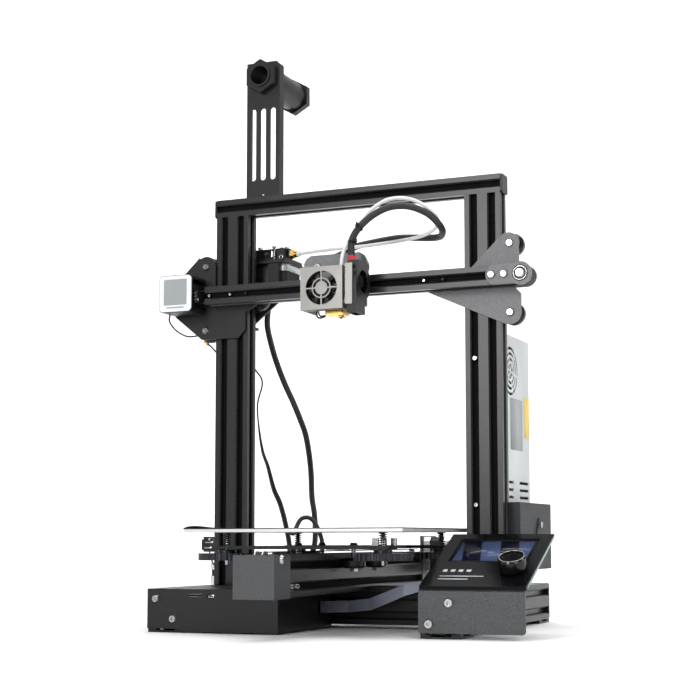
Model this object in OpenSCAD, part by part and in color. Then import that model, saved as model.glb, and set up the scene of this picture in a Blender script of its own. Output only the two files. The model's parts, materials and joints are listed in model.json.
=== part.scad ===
// Open-frame fused-filament 3-D printer: aluminium profile portal, moving bed,
// belt-driven tool carriage on a beam that a lead screw lifts.
// Millimetres. X to the right, Y to the back, Z up.
// Origin: on the surface it stands on, midway between the uprights, at their front faces.

/* [Frame] */
// Width over the two uprights
frame_w = 336; // [320:2:360]
// Length of each upright
upright_l = 414; // [400:1:440]
// Length of each side base beam
base_l = 313; // [300:1:330]
// Length of the beam that carries the bed
bed_beam_l = 372; // [365:1:380]

/* [Rest position] */
// Height of the tool beam's centre line
gantry_z = 365; // [320:1:380]
// Sideways place of the tool carriage
tool_x = -8; // [-40:1:40]
// Front-to-back place of the bed's centre
bed_y = -42.5; // [-60:0.5:0]

/* [Bed] */
// Side of the square bed plate
bed_w = 235; // [220:1:236]
// Distance between the levelling screws
screw_pitch = 170; // [160:1:172]
// Radius of a levelling knob
knob_r = 29; // [22:1:29]

/* [Spool holder] */
// Height of the spool plate above the top bar
spool_h = 155; // [130:1:170]
// Length of the spool arm behind its plate
spool_arm_l = 84; // [70:1:90]

/* [Hidden] */

cell = 20;                                // side of one profile cell
foot_h = 4;
base_top = foot_h + 2 * cell;             // top face of the base beams
half_w = frame_w / 2;
up_x = half_w - cell;                     // centre of each upright
top_z = base_top + upright_l;             // underside of the top bar
base_y0 = -141;                           // front end of the base beams
cross_y = 10;                             // centre of the cross beam
bed_beam_y0 = -212;                       // front end of the bed beam
bed_beam_z = base_top + 15.5;             // centre height of the bed beam
bed_beam_y1 = bed_beam_y0 + bed_beam_l;
beam_y = -14;                             // centre plane of the tool beam
beam_x0 = -170;
beam_x1 = 185;
sheet_t = 3;                              // thickness of the gantry's steel plates
plate_y = -4;                             // front face of the gantry plates
wheel_r = 12.2;
wheel_off = 11;                           // wheel centre beyond the profile face
wheel_x = half_w + wheel_off;
wheel_in_x = half_w - 2 * cell - wheel_off;
wheel_dz = 36.5;                          // wheels above and below the tool beam
idler_x = 196.5;
drive_x = -197;
pulley_r = 6;
belt_in = 6.3;                            // inner radius of a belt's end turns
belt_out = 7.5;
belt_w = 6;
screw_x = -164;                           // lead screw
screw_y = 41.5;
screw_r = 4;
motor_w = 42.3;
z_motor_h = 24;
bed_plate_z = 101;
bed_plate_t = 3;
bed_sheet_t = 1;
carriage_z = 84;
carriage_t = 3.4;
knob_z = 73;
knob_t = 7;
idler_y = -222;                           // front turn of the bed belt
bed_drive_y = 184;                        // rear turn of the bed belt
bed_belt_z = bed_beam_z + 15.5;           // height of the bed belt's turns
psu_x = 128;
psu_y = 20.5;
psu_z = 99;
psu_t = 30;
psu_w = 115;
psu_h = 215;
lcd_w = 105;
lcd_l = 113;
lcd_tilt = 25.66;                         // slope of the display panel
lcd_at = [128.5, -145, 48];               // lower left corner of the panel
enc_u = 84;                               // encoder across and up the panel
enc_s = 34;
spool_x = -110;
spool_z = top_z + cell + spool_h - 18;
tool_front = -72;                         // front face of the fan shroud
nozzle_x = tool_x + 15;
nozzle_y = -52;
nozzle_z = gantry_z - 40;                 // tip of the nozzle
extr_x = -118;                            // extruder drive axis
extr_y = 56;
extr_z = gantry_z + 45;                   // top of the extruder shelf
filament_y = extr_y - 6.5;                // filament path, at the front of the drive gear
lever_x = extr_x - 15;                    // pivot of the pressing lever
lever_y = extr_y - 14.6;
box_y0 = -143;                            // front of the electronics box
box_x1 = -20.5;
ALU = [0.16, 0.16, 0.17];
STEEL = [0.75, 0.76, 0.78];
BRASS = [0.80, 0.62, 0.28];
BLACK = [0.07, 0.07, 0.08];
GREY = [0.30, 0.31, 0.33];

// Extruded profile -----------------------------------------------------------

// One V-slot, cut from a face at y = 0 towards -y
module slot_cut() {
    polygon([[-4.6, 0.1], [4.6, 0.1], [4.5, 0], [3.1, -1.4], [3.1, -2.2], [5.5, -2.2], [5.5, -3.4],
        [2.9, -6], [-2.9, -6], [-5.5, -3.4], [-5.5, -2.2], [-3.1, -2.2], [-3.1, -1.4], [-4.5, 0]]);
}

// Cross-section of nx by ny cells, centred
module profile(nx, ny) {
    difference() {
        square([nx * cell, ny * cell], center = true);
        for (i = [0:nx - 1]) {
            for (side = [0, 180]) {
                rotate(side)
                    translate([(i - (nx - 1) / 2) * cell, ny * cell / 2]) slot_cut();
            }
        }
        for (j = [0:ny - 1]) {
            for (side = [90, 270]) {
                rotate(side)
                    translate([(j - (ny - 1) / 2) * cell, nx * cell / 2]) slot_cut();
            }
        }
        for (i = [0:nx - 1], j = [0:ny - 1]) {
            translate([(i - (nx - 1) / 2) * cell, (j - (ny - 1) / 2) * cell])
                circle(r = 2.5, $fn = 24);
        }
    }
}

// Rectangle from the origin with rounded corners
module rounded(w, h, r) {
    translate([r, 0]) square([w - 2 * r, h]);
    translate([0, r]) square([w, h - 2 * r]);
    for (x = [r, w - r], y = [r, h - r]) {
        translate([x, y]) circle(r = r, $fn = 48);
    }
}

module beam_along_x(ny, nz, l) {
    rotate([90, 0, 90]) linear_extrude(l) profile(ny, nz);
}

module beam_along_y(nx, nz, l) {
    rotate([-90, 0, 0]) linear_extrude(l) profile(nx, nz);
}

// Fasteners and turning parts -------------------------------------------------

// Button-head screw along +z: shank from 0 down, head from 0 up
module screw(shank_l, shank_r = 2.4, head_r = 4.6, head_h = 2.6) {
    difference() {
        union() {
            cylinder(r1 = head_r, r2 = head_r * 0.72, h = head_h, $fn = 32);
            translate([0, 0, -shank_l]) cylinder(r = shank_r, h = shank_l + 0.1, $fn = 24);
        }
        translate([0, 0, head_h - 1.5]) cylinder(r = 1.7, h = 2, $fn = 6);
    }
}

// Wheel axle along +y from a plate's front face, with head and lock nut
module axle(plate_front, wheel_mid) {
    translate([0, plate_front, 0]) rotate([90, 0, 0]) screw(wheel_mid - plate_front + 9.5, 2.45);
    translate([0, wheel_mid + 5.5, 0]) rotate([-90, 0, 0]) difference() {
        cylinder(r = 4.4, h = 4, $fn = 6);
        translate([0, 0, -1]) cylinder(r = 2.5, h = 7, $fn = 24);
    }
}

// Grooved wheel about the z axis, centred on z = 0
module v_wheel() {
    rotate_extrude($fn = 48) polygon([[2.6, -4.4], [8, -4.4], [8.2, -5.1], [9.7, -5.1],
        [wheel_r, -2.6], [wheel_r, 2.6], [9.7, 5.1], [8.2, 5.1], [8, 4.4], [2.6, 4.4]]);
}

// Toothed pulley with flanges about the z axis, belt centred on z = 0
module pulley(bore_r = 2.5, hub = 0) {
    difference() {
        union() {
            cylinder(r = pulley_r, h = belt_w + 0.6, center = true, $fn = 40);
            for (side = [-1, 1]) {
                translate([0, 0, side * (belt_w / 2 + 0.9)])
                    cylinder(r = 8, h = 1.2, center = true, $fn = 40);
            }
            if (hub > 0) {
                translate([0, 0, belt_w / 2 + 1]) cylinder(r = 7, h = hub, $fn = 40);
            }
        }
        cylinder(r = bore_r, h = 60, center = true, $fn = 24);
    }
}

// Stepper motor: body below z = 0, pilot boss above, bore for its shaft
module stepper(l) {
    c = 4;
    w = motor_w / 2;
    outline = [[w - c, -w], [w, c - w], [w, w - c], [w - c, w], [c - w, w], [-w, w - c],
        [-w, c - w], [c - w, -w]];
    difference() {
        union() {
            translate([0, 0, -8]) linear_extrude(8) polygon(outline);
            translate([0, 0, -l + 9]) linear_extrude(l - 17) scale(0.965) polygon(outline);
            translate([0, 0, -l]) linear_extrude(9) polygon(outline);
            cylinder(r = 11, h = 2, $fn = 48);
        }
        translate([0, 0, -8]) cylinder(r = 2.6, h = 12, $fn = 24);
    }
}

// Fan rotor about the z axis: hub and pitched blades
module rotor(r, h, blades, hub_r) {
    cylinder(r = hub_r, h = h, $fn = 40);
    for (i = [0:blades - 1]) {
        rotate(i * 360 / blades) translate([hub_r - 0.6, 0, h / 2]) rotate([38, 0, 0])
            translate([0, -0.5, -h * 0.5]) cube([r - hub_r + 0.6, 1, h]);
    }
}

// Closed belt ring in the xy plane round two turns
module belt_ring(l) {
    module ring(r) {
        circle(r = r, $fn = 48);
        translate([l, 0]) circle(r = r, $fn = 48);
        translate([0, -r]) square([l, 2 * r]);
    }
    linear_extrude(belt_w, center = true) difference() {
        ring(belt_out);
        ring(belt_in);
    }
}

// Cords -----------------------------------------------------------------------

// Catmull-Rom point on the route p at place t of span i
function spline_at(p, i, t) = let (n = len(p),
    a = p[max(i - 1, 0)], b = p[i], c = p[i + 1], d = p[min(i + 2, n - 1)])
    0.5 * ((2 * b) + (c - a) * t + (2 * a - 5 * b + 4 * c - d) * t * t
        + (3 * b - a - 3 * c + d) * t * t * t);
function smooth(p, k) = [for (i = [0:len(p) - 2], j = [0:k - 1]) spline_at(p, i, j / k),
    p[len(p) - 1]];
function unit(v) = v / norm(v);
function tangent(p, i) = unit(p[min(i + 1, len(p) - 1)] - p[max(i - 1, 0)]);

// Frames carried along the route, so that the tube does not twist
function carried(p, i, n0) = i == 0 ? [n0 - tangent(p, 0) * (n0 * tangent(p, 0))]
    : let (before = carried(p, i - 1, n0), last = before[i - 1], t = tangent(p, i))
        concat(before, [last - t * (last * t)]);

// Tube of radius r along the points p, with `sides` flats
module tube(p, r, sides, up) {
    n = len(p);
    frames = carried(p, n - 1, up);
    rings = [for (i = [0:n - 1]) let (t = tangent(p, i), a = unit(frames[i]), b = cross(t, a))
        for (s = [0:sides - 1]) p[i] + r * (cos(s * 360 / sides) * a + sin(s * 360 / sides) * b)];
    walls = [for (i = [0:n - 2], s = [0:sides - 1]) let (e = (s + 1) % sides)
        [i * sides + s, (i + 1) * sides + s, (i + 1) * sides + e, i * sides + e]];
    ends = [[for (s = [0:sides - 1]) s],
        [for (s = [0:sides - 1]) (n - 1) * sides + sides - 1 - s]];
    polyhedron(rings, concat(walls, ends), convexity = 6);
}

// Frame -------------------------------------------------------------------------

module base_beams() {
    color(ALU) {
        for (side = [-1, 1]) {
            translate([side * up_x, base_y0, foot_h + cell]) beam_along_y(2, 2, base_l);
        }
        difference() {
            translate([-half_w + 2 * cell, cross_y, foot_h + cell])
                beam_along_x(2, 2, frame_w - 4 * cell);
            translate([-cell - 0.2, cross_y - 25, bed_beam_z - cell - 0.01])
                cube([2 * cell + 0.4, 50, 30]);
        }
    }
}

module bed_beam() {
    trough_w = 7.6;
    color(ALU) difference() {
        translate([0, bed_beam_y0, bed_beam_z]) beam_along_y(2, 2, bed_beam_l);
        translate([-trough_w / 2, bed_beam_y0 - 1, bed_belt_z - 9])
            cube([trough_w, bed_beam_l + 2, 40]);
    }
}

module uprights() {
    color(ALU) for (side = [-1, 1]) {
        translate([side * up_x, cell / 2, base_top]) linear_extrude(upright_l) profile(2, 1);
    }
}

module top_bar() {
    color(ALU) translate([-half_w, cell / 2, top_z + cell / 2]) beam_along_x(1, 1, frame_w);
}

// Square cover with chamfered corners, face on z = 0 and body above
module cap(nx, ny) {
    w = nx * cell / 2;
    d = ny * cell / 2;
    c = 1.5;
    linear_extrude(2.4) polygon([[c - w, -d], [w - c, -d], [w, c - d], [w, d - c], [w - c, d],
        [c - w, d], [-w, d - c], [-w, c - d]]);
}

module end_caps() {
    color(BLACK) {
        translate([half_w, cell / 2, top_z + cell / 2]) rotate([0, 90, 0]) cap(1, 1);
        translate([-half_w, cell / 2, top_z + cell / 2]) rotate([0, -90, 0]) cap(1, 1);
        for (side = [-1, 1]) {
            translate([side * up_x, base_y0 + base_l, foot_h + cell]) rotate([-90, 0, 0]) cap(2, 2);
        }
    }
}

module feet() {
    pad_w = 40;
    post = 9;
    color(BLACK) for (x = [-up_x, up_x], y = [base_y0 + 20, base_y0 + base_l - 20]) {
        translate([x - pad_w / 2, y - pad_w / 2, 0]) {
            cube([pad_w, pad_w, 2]);
            for (i = [0, 1], j = [0, 1]) {
                translate([i * (pad_w - post), j * (pad_w - post), 0]) cube([post, post, foot_h]);
            }
        }
    }
}

// Spool holder ------------------------------------------------------------------

module spool_plate() {
    w = 41;
    t = 2;
    fold = 11;
    slot_r = 3.4;
    color(ALU) difference() {
        translate([spool_x - w / 2, 0, top_z + cell]) {
            cube([w, t, spool_h]);
            translate([w - t, 0, 0]) cube([t, fold, spool_h]);
            cube([t, fold, spool_h]);
            cube([w, fold, t]);
        }
        for (i = [-1:1]) {
            translate([spool_x + i * 12.2, -1, top_z + cell + 22]) rotate([-90, 0, 0])
                cylinder(r = slot_r, h = 5, $fn = 24);
            translate([spool_x + i * 12.2, -1, top_z + cell + 98]) rotate([-90, 0, 0])
                cylinder(r = slot_r, h = 5, $fn = 24);
            translate([spool_x + i * 12.2 - slot_r, -1, top_z + cell + 22])
                cube([2 * slot_r, 5, 76]);
        }
        translate([spool_x, -1, spool_z]) rotate([-90, 0, 0]) cylinder(r = 13.2, h = 5, $fn = 48);
        translate([spool_x - 1.5, -1, top_z + cell - 1]) cube([3, 4, 3.5]);
        translate([spool_x + w / 2 - 4, -1, top_z + cell + spool_h]) rotate([0, 45, 0])
            cube([8, 20, 8]);
    }
}

module spool_arm() {
    bore = 10.6;
    color(BLACK) difference() {
        translate([spool_x, 0, spool_z]) rotate([-90, 0, 0]) {
            translate([0, 0, -11]) cylinder(r = 13, h = 13.5, $fn = 64);
            translate([0, 0, -9]) rotate(90) cylinder(r = 19.5, h = 8.9, $fn = 6);
            translate([0, 0, 2.1]) cylinder(r = 16.5, h = spool_arm_l, $fn = 64);
            translate([0, 0, spool_arm_l - 6]) rotate(90) cylinder(r = 21, h = 9, $fn = 6);
        }
        translate([spool_x, -20, spool_z]) rotate([-90, 0, 0]) cylinder(r = bore, h = 140, $fn = 64);
    }
}

// Electronics ------------------------------------------------------------------

module electronics_box() {
    t = 1.5;
    y1 = cross_y - cell - 0.5;
    x0 = -half_w + 2 * cell + 0.3;
    box_z0 = 1.2;
    color(BLACK) difference() {
        union() {
            translate([-half_w, box_y0, foot_h]) cube([box_x1 + half_w, t, 2 * cell]);
            translate([x0, box_y0, box_z0]) cube([box_x1 - x0, y1 - box_y0, base_top - box_z0]);
        }
        translate([x0 + t, box_y0 + t, box_z0 + t])
            cube([box_x1 - x0 - 2 * t, y1 - box_y0 - 2 * t, base_top - box_z0 - 2 * t]);
        for (p = [[-half_w + 10, 30], [-half_w + 30, 10]]) {
            translate([p[0], box_y0 - 1, foot_h + p[1]]) rotate([-90, 0, 0])
                cylinder(r = 2.6, h = 4, $fn = 24);
        }
        translate([-119, box_y0 - 1, 36.5]) cube([14, t + 2, 2.6]);
        translate([-99, box_y0 - 1, 35]) cube([8, t + 2, 4]);
        translate([box_x1 - 3, -46, 16]) cube([5, 24, 14]);
        for (i = [0:7]) {
            translate([x0 + 24 + i * 7, -70, box_z0 - 1]) cube([3, 40, t + 2]);
        }
    }
}

module circuit_boards() {
    // main board in the electronics box
    color([0.08, 0.22, 0.14]) translate([-116, -136, foot_h + 9]) {
        cube([86, 100, 1.6]);
        for (i = [0:3]) {
            translate([8 + i * 19, 40, 1.5]) cube([10, 10, 7]);
        }
        translate([6, 78, 1.5]) cube([60, 12, 10]);
        translate([14, 4, 1.5]) cube([14, 12, 3]);
        translate([56, 12, 1.5]) cube([16, 16, 2]);
        for (x = [3, 79], y = [3, 93]) {
            translate([x, y, -10.2]) cube([4, 4, 10.3]);
        }
    }
    // display board, in the panel's plane
    color([0.08, 0.22, 0.14]) on_panel() difference() {
        union() {
            translate([6, 20, -12]) cube([lcd_w - 12, 84, 1.6]);
            translate([10, 48, -10.5]) cube([86, 56, 6.9]);
            translate([enc_u - 6.5, enc_s - 6.5, -10.5]) cube([13, 13, 5]);
        }
        translate([enc_u, enc_s, -10.2]) cylinder(r = 3.3, h = 20, $fn = 32);
    }
}

// Power supply -------------------------------------------------------------------

module psu_case() {
    t = 1.2;
    fan_y = psu_y + 44;
    fan_z = psu_z + 176;
    color(STEEL) difference() {
        translate([psu_x, psu_y, psu_z]) cube([psu_t, psu_w, psu_h]);
        translate([psu_x + t, psu_y + t, psu_z + t])
            cube([psu_t - 2 * t, psu_w - 2 * t, psu_h - 2 * t]);
        // round fan grille: rings of slots between spokes
        translate([psu_x + psu_t - 2, fan_y, fan_z]) rotate([0, 90, 0]) difference() {
            cylinder(r = 26.5, h = 4, $fn = 64);
            for (r = [23.5, 17.5, 11.5]) {
                difference() {
                    translate([0, 0, -1]) cylinder(r = r, h = 6, $fn = 64);
                    translate([0, 0, -2]) cylinder(r = r - 3, h = 8, $fn = 64);
                }
            }
            for (a = [20:60:320]) {
                rotate(a) translate([0, -1, -1]) cube([30, 2, 6]);
            }
        }
        for (z = [137, 145, 153], y = [[psu_y + 5, 22], [55, 17], [95, 34]]) {
            translate([psu_x + psu_t - 2, y[0], z]) cube([5, y[1], 3]);
        }
    }
    color([0.1, 0.3, 0.15]) translate([psu_x + 3, psu_y + 4, psu_z + 6]) {
        cube([1.6, psu_w - 8, 130]);
        translate([1.5, 60, 20]) cube([18, 34, 40]);
        translate([1.5, 12, 30]) cube([18, 30, 50]);
    }
}

module psu_cover() {
    t = 2;
    x0 = psu_x - 3;
    w = 180 - x0;
    y0 = 20.3;
    d = 120.7;
    z0 = 61;
    h = 71;
    color(GREY) difference() {
        translate([x0, y0, z0]) cube([w, d, h]);
        translate([x0 + t, y0 + t, z0 + t]) cube([w - 2 * t, d - 2 * t, psu_z - z0 - t + 0.01]);
        translate([psu_x - 0.2, y0 - 1, psu_z - 0.3]) cube([psu_t + 0.4, psu_w + 1.6, h]);
        translate([psu_x + psu_t, y0 + t, psu_z - 0.1])
            cube([180 - t - psu_x - psu_t, d - 2 * t, z0 + h - t - psu_z]);
        translate([x0 + 26, y0 + d - 4, z0 + 7]) cube([20, 6, 28]);
        translate([x0 + 5, y0 + d - 4, z0 + 9]) cube([14, 6, 20.4]);
    }
    // triangular gusset on the outer face
    color(GREY) translate([180, 0, 0]) rotate([90, 0, 90]) linear_extrude(1.6)
        polygon([[62, z0 + 2], [132, z0 + 2], [101, 112], [96, 116], [90, 116], [86, 112]]);
}

// Mains inlet in the rear wall, an open socket with its contacts
module mains_inlet() {
    x0 = psu_x + 23.2;
    y1 = 141;
    z0 = 68.2;
    color(BLACK) difference() {
        union() {
            translate([x0, y1 - 18, z0]) cube([19.6, 18, 27.6]);
            translate([x0 - 2.2, y1, z0 - 2.2]) cube([24, 1.4, 32]);
        }
        translate([x0 + 2, y1 - 15, z0 + 2]) cube([15.6, 20, 23.6]);
    }
    color(STEEL) for (z = [6, 13, 20]) {
        translate([x0 + 8.8, y1 - 15.5, z0 + z - 0.2]) cube([1.6, 12, 4]);
    }
}

module psu_switch() {
    // rocker in the opening of the rear wall
    color(BLACK) translate([psu_x + 9, 140, 80.2]) rotate([0, 90, 0]) translate([0, 0, -6.6])
        linear_extrude(13.2) {
            polygon([[-9.2, -3], [9.2, -3], [9.2, 2.6], [0, 0.9], [-9.2, 1.2]]);
            translate([0, -3]) circle(r = 2.4, $fn = 32);
        }
}

module psu_fan_rotor() {
    color(BLACK) translate([psu_x + 16, psu_y + 44, psu_z + 176]) rotate([0, 90, 0])
        rotor(28, 9, 7, 13);
}

// Display -------------------------------------------------------------------------

// Places children in the display panel's plane: x across, y up the slope, z outwards
module on_panel() {
    translate(lcd_at) rotate([lcd_tilt, 0, 0]) children();
}

module lcd_bracket() {
    t = 2;
    low = 5.5;
    color(GREY) difference() {
        union() {
            translate([lcd_at[0] - 1.2, lcd_at[1] - 0.2 + t, low]) rotate([90, 0, 0])
                linear_extrude(t) rounded(lcd_w, lcd_at[2] - low - 3, 3.5);
            on_panel() translate([-1.2, 0, -3.6]) cube([lcd_w, lcd_l - 8, 1.6]);
        }
        for (p = [[half_w - 10, 34], [half_w - 30, 14]]) {
            translate([p[0], lcd_at[1] - 2, p[1]]) rotate([-90, 0, 0])
                cylinder(r = 2.6, h = 6, $fn = 24);
        }
        on_panel() translate([enc_u, enc_s, -6]) cylinder(r = 4, h = 8, $fn = 32);
    }
}

module lcd_panel() {
    color(BLACK) on_panel() difference() {
        translate([0, 0, -1.9]) cube([lcd_w, lcd_l, 3.8]);
        translate([13, 51, 0.6]) cube([80, 51, 2]);
        translate([enc_u, enc_s, -3]) cylinder(r = 3.8, h = 8, $fn = 32);
    }
}

module encoder_stem() {
    color(STEEL) on_panel() translate([enc_u, enc_s, -8.8]) cylinder(r = 3, h = 16, $fn = 32);
}

module lcd_knob() {
    color(BLACK) on_panel() translate([enc_u, enc_s, 3.4]) difference() {
        union() {
            cylinder(r = 13.2, h = 1.5, $fn = 64);
            translate([0, 0, 1.4]) cylinder(r = 13.7, h = 10, $fn = 64);
            translate([0, 0, 11.3]) cylinder(r1 = 13.7, r2 = 12.6, h = 1.7, $fn = 64);
        }
        translate([0, 0, -1]) cylinder(r = 3.08, h = 10, $fn = 32);
        translate([0, 0, 11.6]) cylinder(r = 11.4, h = 4, $fn = 64);
    }
}

module ribbon_cable() {
    // x, y, lower edge and upper edge along the flat cable
    pts = [[box_x1 - 3, -34, 17, 29], [10, -37, 18, 30], [38, -48, 21, 33], [66, -72, 29, 41],
        [94, -96, 38, 49], [120, -104, 44.6, 53], [139, -104, 44.6, 53]];
    t = 0.9;
    color([0.5, 0.52, 0.58]) for (i = [0:len(pts) - 2]) {
        a = pts[i];
        b = pts[i + 1];
        hull() {
            translate([a[0], a[1], a[2]]) cube([t, t, a[3] - a[2]]);
            translate([b[0], b[1], b[2]]) cube([t, t, b[3] - b[2]]);
        }
    }
}

// Frame drives -----------------------------------------------------------------------

module frame_motors() {
    color(BLACK) {
        translate([screw_x, screw_y, base_top + z_motor_h]) stepper(z_motor_h);
        translate([cell + 0.5, bed_drive_y, bed_belt_z]) rotate([0, -90, 0]) stepper(34);
    }
}

module bed_beam_brackets() {
    t = 1.2;
    front_y = -238;
    in_w = cell + 0.1;
    h = 41;
    z0 = bed_beam_z - 21.1;
    color(GREY) difference() {
        translate([-in_w - t, front_y, z0]) cube([2 * (in_w + t), 35, h]);
        translate([-in_w, front_y + t, z0 - 1]) cube([2 * in_w, 40, h + 2]);
        translate([-30, idler_y, bed_belt_z]) rotate([0, 90, 0]) cylinder(r = 2.6, h = 60, $fn = 24);
    }
    color(GREY) difference() {
        union() {
            translate([cell - 2.6, bed_beam_y1 + 0.1, bed_beam_z - 19]) cube([3, 48, 57]);
            translate([-cell, bed_beam_y1 + 0.1, bed_beam_z - 19]) cube([2 * cell, 2.4, 37]);
        }
        translate([0, bed_drive_y, bed_belt_z]) rotate([0, 90, 0]) cylinder(r = 11.3, h = 30, $fn = 48);
        translate([-6, bed_beam_y1 - 1, bed_belt_z - 9.5]) cube([12, 6, 40]);
    }
}

module bed_belt() {
    color(BLACK) translate([0, idler_y, bed_belt_z]) rotate([0, 90, 0]) rotate(90)
        belt_ring(bed_drive_y - idler_y);
}

module bed_pulley() {
    color(STEEL) translate([0, bed_drive_y, bed_belt_z]) rotate([0, 90, 0]) {
        pulley(2.4, 6);
        translate([0, 0, -5]) cylinder(r = 2.5, h = 28, $fn = 32);
    }
}

module bed_idler() {
    color(STEEL) translate([0, idler_y, bed_belt_z]) rotate([0, 90, 0]) pulley(2.6);
}

module lead_screw() {
    z0 = base_top + z_motor_h;
    color(STEEL) translate([screw_x, screw_y, 0]) {
        translate([0, 0, z0 - 7]) cylinder(r = 2.5, h = 14, $fn = 32);
        translate([0, 0, z0 + 5]) cylinder(r = 9.5, h = 25, $fn = 48);
        translate([0, 0, z0 + 29]) cylinder(r = screw_r, h = top_z - z0 - 60, $fn = 48);
    }
}

module frame_screws() {
    color(STEEL) {
        for (p = [[-half_w + 10, 34], [-half_w + 30, 14]]) {
            translate([p[0], box_y0, p[1]]) rotate([90, 0, 0]) screw(12);
        }
        for (p = [[half_w - 10, 34], [half_w - 30, 14]]) {
            translate([p[0], lcd_at[1] - 0.2, p[1]]) rotate([90, 0, 0]) screw(14, 2.4, 5.2);
        }
        for (z = [129, 283]) {
            translate([half_w - 30, 3, z]) rotate([90, 0, 0]) screw(2.9, 2, 2.9, 2.2);
        }
        for (y = [-200, -188]) {
            translate([cell - 1.9, y, bed_beam_z - 10]) rotate([0, 90, 0]) screw(3, 2.4, 2.9, 5);
        }
        // axle of the front belt turn
        translate([cell + 1.4, idler_y, bed_belt_z]) rotate([0, 90, 0]) screw(2 * cell + 4);
    }
}

// Gantry ------------------------------------------------------------------------------

module tool_beam() {
    color(ALU) difference() {
        translate([beam_x0, beam_y, gantry_z]) beam_along_x(1, 1, beam_x1 - beam_x0);
        for (x = [-92, 40]) {
            translate([x, beam_y - 20, gantry_z]) rotate([-90, 0, 0]) cylinder(r = 1.6, h = 16, $fn = 24);
        }
    }
}

// Holes for the wheel axles of one side of the gantry, mirrored by side = -1 or 1
module axle_holes(side) {
    for (p = [[wheel_x, wheel_dz], [wheel_x, -wheel_dz], [wheel_in_x, -3]]) {
        translate([side * p[0], plate_y - 1, gantry_z + p[1]]) rotate([-90, 0, 0])
            cylinder(r = 2.5, h = sheet_t + 2, $fn = 24);
    }
}

module left_plate() {
    outline = [[-167, 36], [-167, 12], [-106, 12], [-106, -10], [-115, -10], [-129.5, -18],
        [-129.5, -38], [-138, -46.5], [-184, -46.5], [-218, -19], [-218, 19], [-188, 47.5]];
    color(BLACK) difference() {
        union() {
            translate([0, plate_y + sheet_t, gantry_z]) rotate([90, 0, 0]) linear_extrude(sheet_t) {
                polygon(outline);
                translate([-wheel_x, wheel_dz]) circle(r = 12, $fn = 48);
            }
        }
        axle_holes(-1);
        translate([drive_x, plate_y - 1, gantry_z]) rotate([-90, 0, 0])
            cylinder(r = 11.3, h = sheet_t + 2, $fn = 48);
    }
    // shelf behind the upright: carries the extruder and the lead screw nut
    color(BLACK) difference() {
        union() {
            translate([0, 29, gantry_z]) rotate([90, 0, 0]) linear_extrude(sheet_t) {
                polygon([[-174, -38], [-140, -38], [-131, -26], [-104, -5], [-104, 4], [-134, 8], [-134, 44],
                    [-174, 44]]);
                for (side = [-1, 1]) {
                    translate([-wheel_x, side * wheel_dz]) circle(r = 8.5, $fn = 40);
                    translate([-wheel_x, side * wheel_dz - 8.5]) square([20, 17]);
                }
            }
            translate([-186, 26, gantry_z + 42]) cube([91, 52, sheet_t]);
            translate([-117, 28, gantry_z + 2]) cube([13, 6.4, 42]);
            translate([-186, 26, gantry_z - 30]) cube([42, 34, sheet_t]);
        }
        translate([screw_x, screw_y, 0]) cylinder(r = 5.4, h = 600, $fn = 32);
        translate([extr_x, extr_y, 0]) cylinder(r = 11.3, h = 600, $fn = 48);
    }
    color(BRASS) translate([screw_x, screw_y, gantry_z - 26.9]) difference() {
        union() {
            cylinder(r = 11, h = 3.5, $fn = 48);
            cylinder(r = 5.2, h = 14, $fn = 48);
            translate([0, 0, -9.9]) cylinder(r = 5.1, h = 10, $fn = 48);
        }
        translate([0, 0, -12]) cylinder(r = screw_r + 0.08, h = 30, $fn = 48);
    }
}

module right_plate() {
    color(GREY) difference() {
        translate([0, plate_y + sheet_t, gantry_z]) rotate([90, 0, 0]) linear_extrude(sheet_t) {
            polygon([[131, -10], [131, 8], [169, 45], [188, 43], [189, 8], [189, -10]]);
            translate([177.5, wheel_dz]) circle(r = 11.5, $fn = 48);
            polygon([[88, -10], [88, -8], [189, -8], [183, -9], [190.5, -17], [190.5, -38], [174, -48.6]]);
            translate([177.8, -wheel_dz + 0.4]) circle(r = 12.7, $fn = 48);
            polygon([[104, 8], [104, -9], [140, -9], [140, 8]]);
            translate([idler_x, 0]) circle(r = 11, $fn = 48);
            translate([180, -11]) square([idler_x - 180, 22]);
        }
        axle_holes(1);
        translate([idler_x, plate_y - 1, gantry_z]) rotate([-90, 0, 0]) cylinder(r = 2.5, h = 5, $fn = 24);
    }
    // front idler plate, over the end of the tool beam
    color(GREY) difference() {
        translate([0, beam_y - cell / 2, gantry_z]) rotate([90, 0, 0]) linear_extrude(sheet_t) {
            translate([170, 0]) circle(r = 10.5, $fn = 48);
            translate([idler_x, 0]) circle(r = 12, $fn = 48);
            translate([170, -10.5]) square([idler_x - 170, 21]);
        }
        translate([idler_x, -40, gantry_z]) rotate([-90, 0, 0]) cylinder(r = 2.5, h = 20, $fn = 24);
    }
}

module x_drive_box() {
    s = 42;
    d = 32;
    t = 1.6;
    color(BLACK) translate([drive_x - 24.3, plate_y, gantry_z - 18.4]) difference() {
        rotate([90, 0, 0]) linear_extrude(d) rounded(s, s, 5);
        translate([t, t - d, 0]) rotate([90, 0, 0]) mirror([0, 0, 1]) linear_extrude(d)
            translate([0, t]) rounded(s - 2 * t, s - 2 * t, 4);
        translate([s - 10, t - d, 5]) cube([20, d, s - 10]);
    }
}

module gantry_motors() {
    color(BLACK) {
        translate([drive_x, plate_y + sheet_t, gantry_z]) rotate([90, 0, 0]) stepper(34);
        translate([extr_x, extr_y, extr_z - sheet_t]) stepper(38);
    }
}

module x_pulley() {
    color(STEEL) translate([drive_x, beam_y, gantry_z]) rotate([90, 0, 0]) {
        pulley(2.4, 5);
        translate([0, 0, -19]) cylinder(r = 2.5, h = 28, $fn = 32);
    }
}

module x_idler() {
    color(STEEL) translate([idler_x, beam_y, gantry_z]) rotate([90, 0, 0]) pulley(2.6);
}

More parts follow.
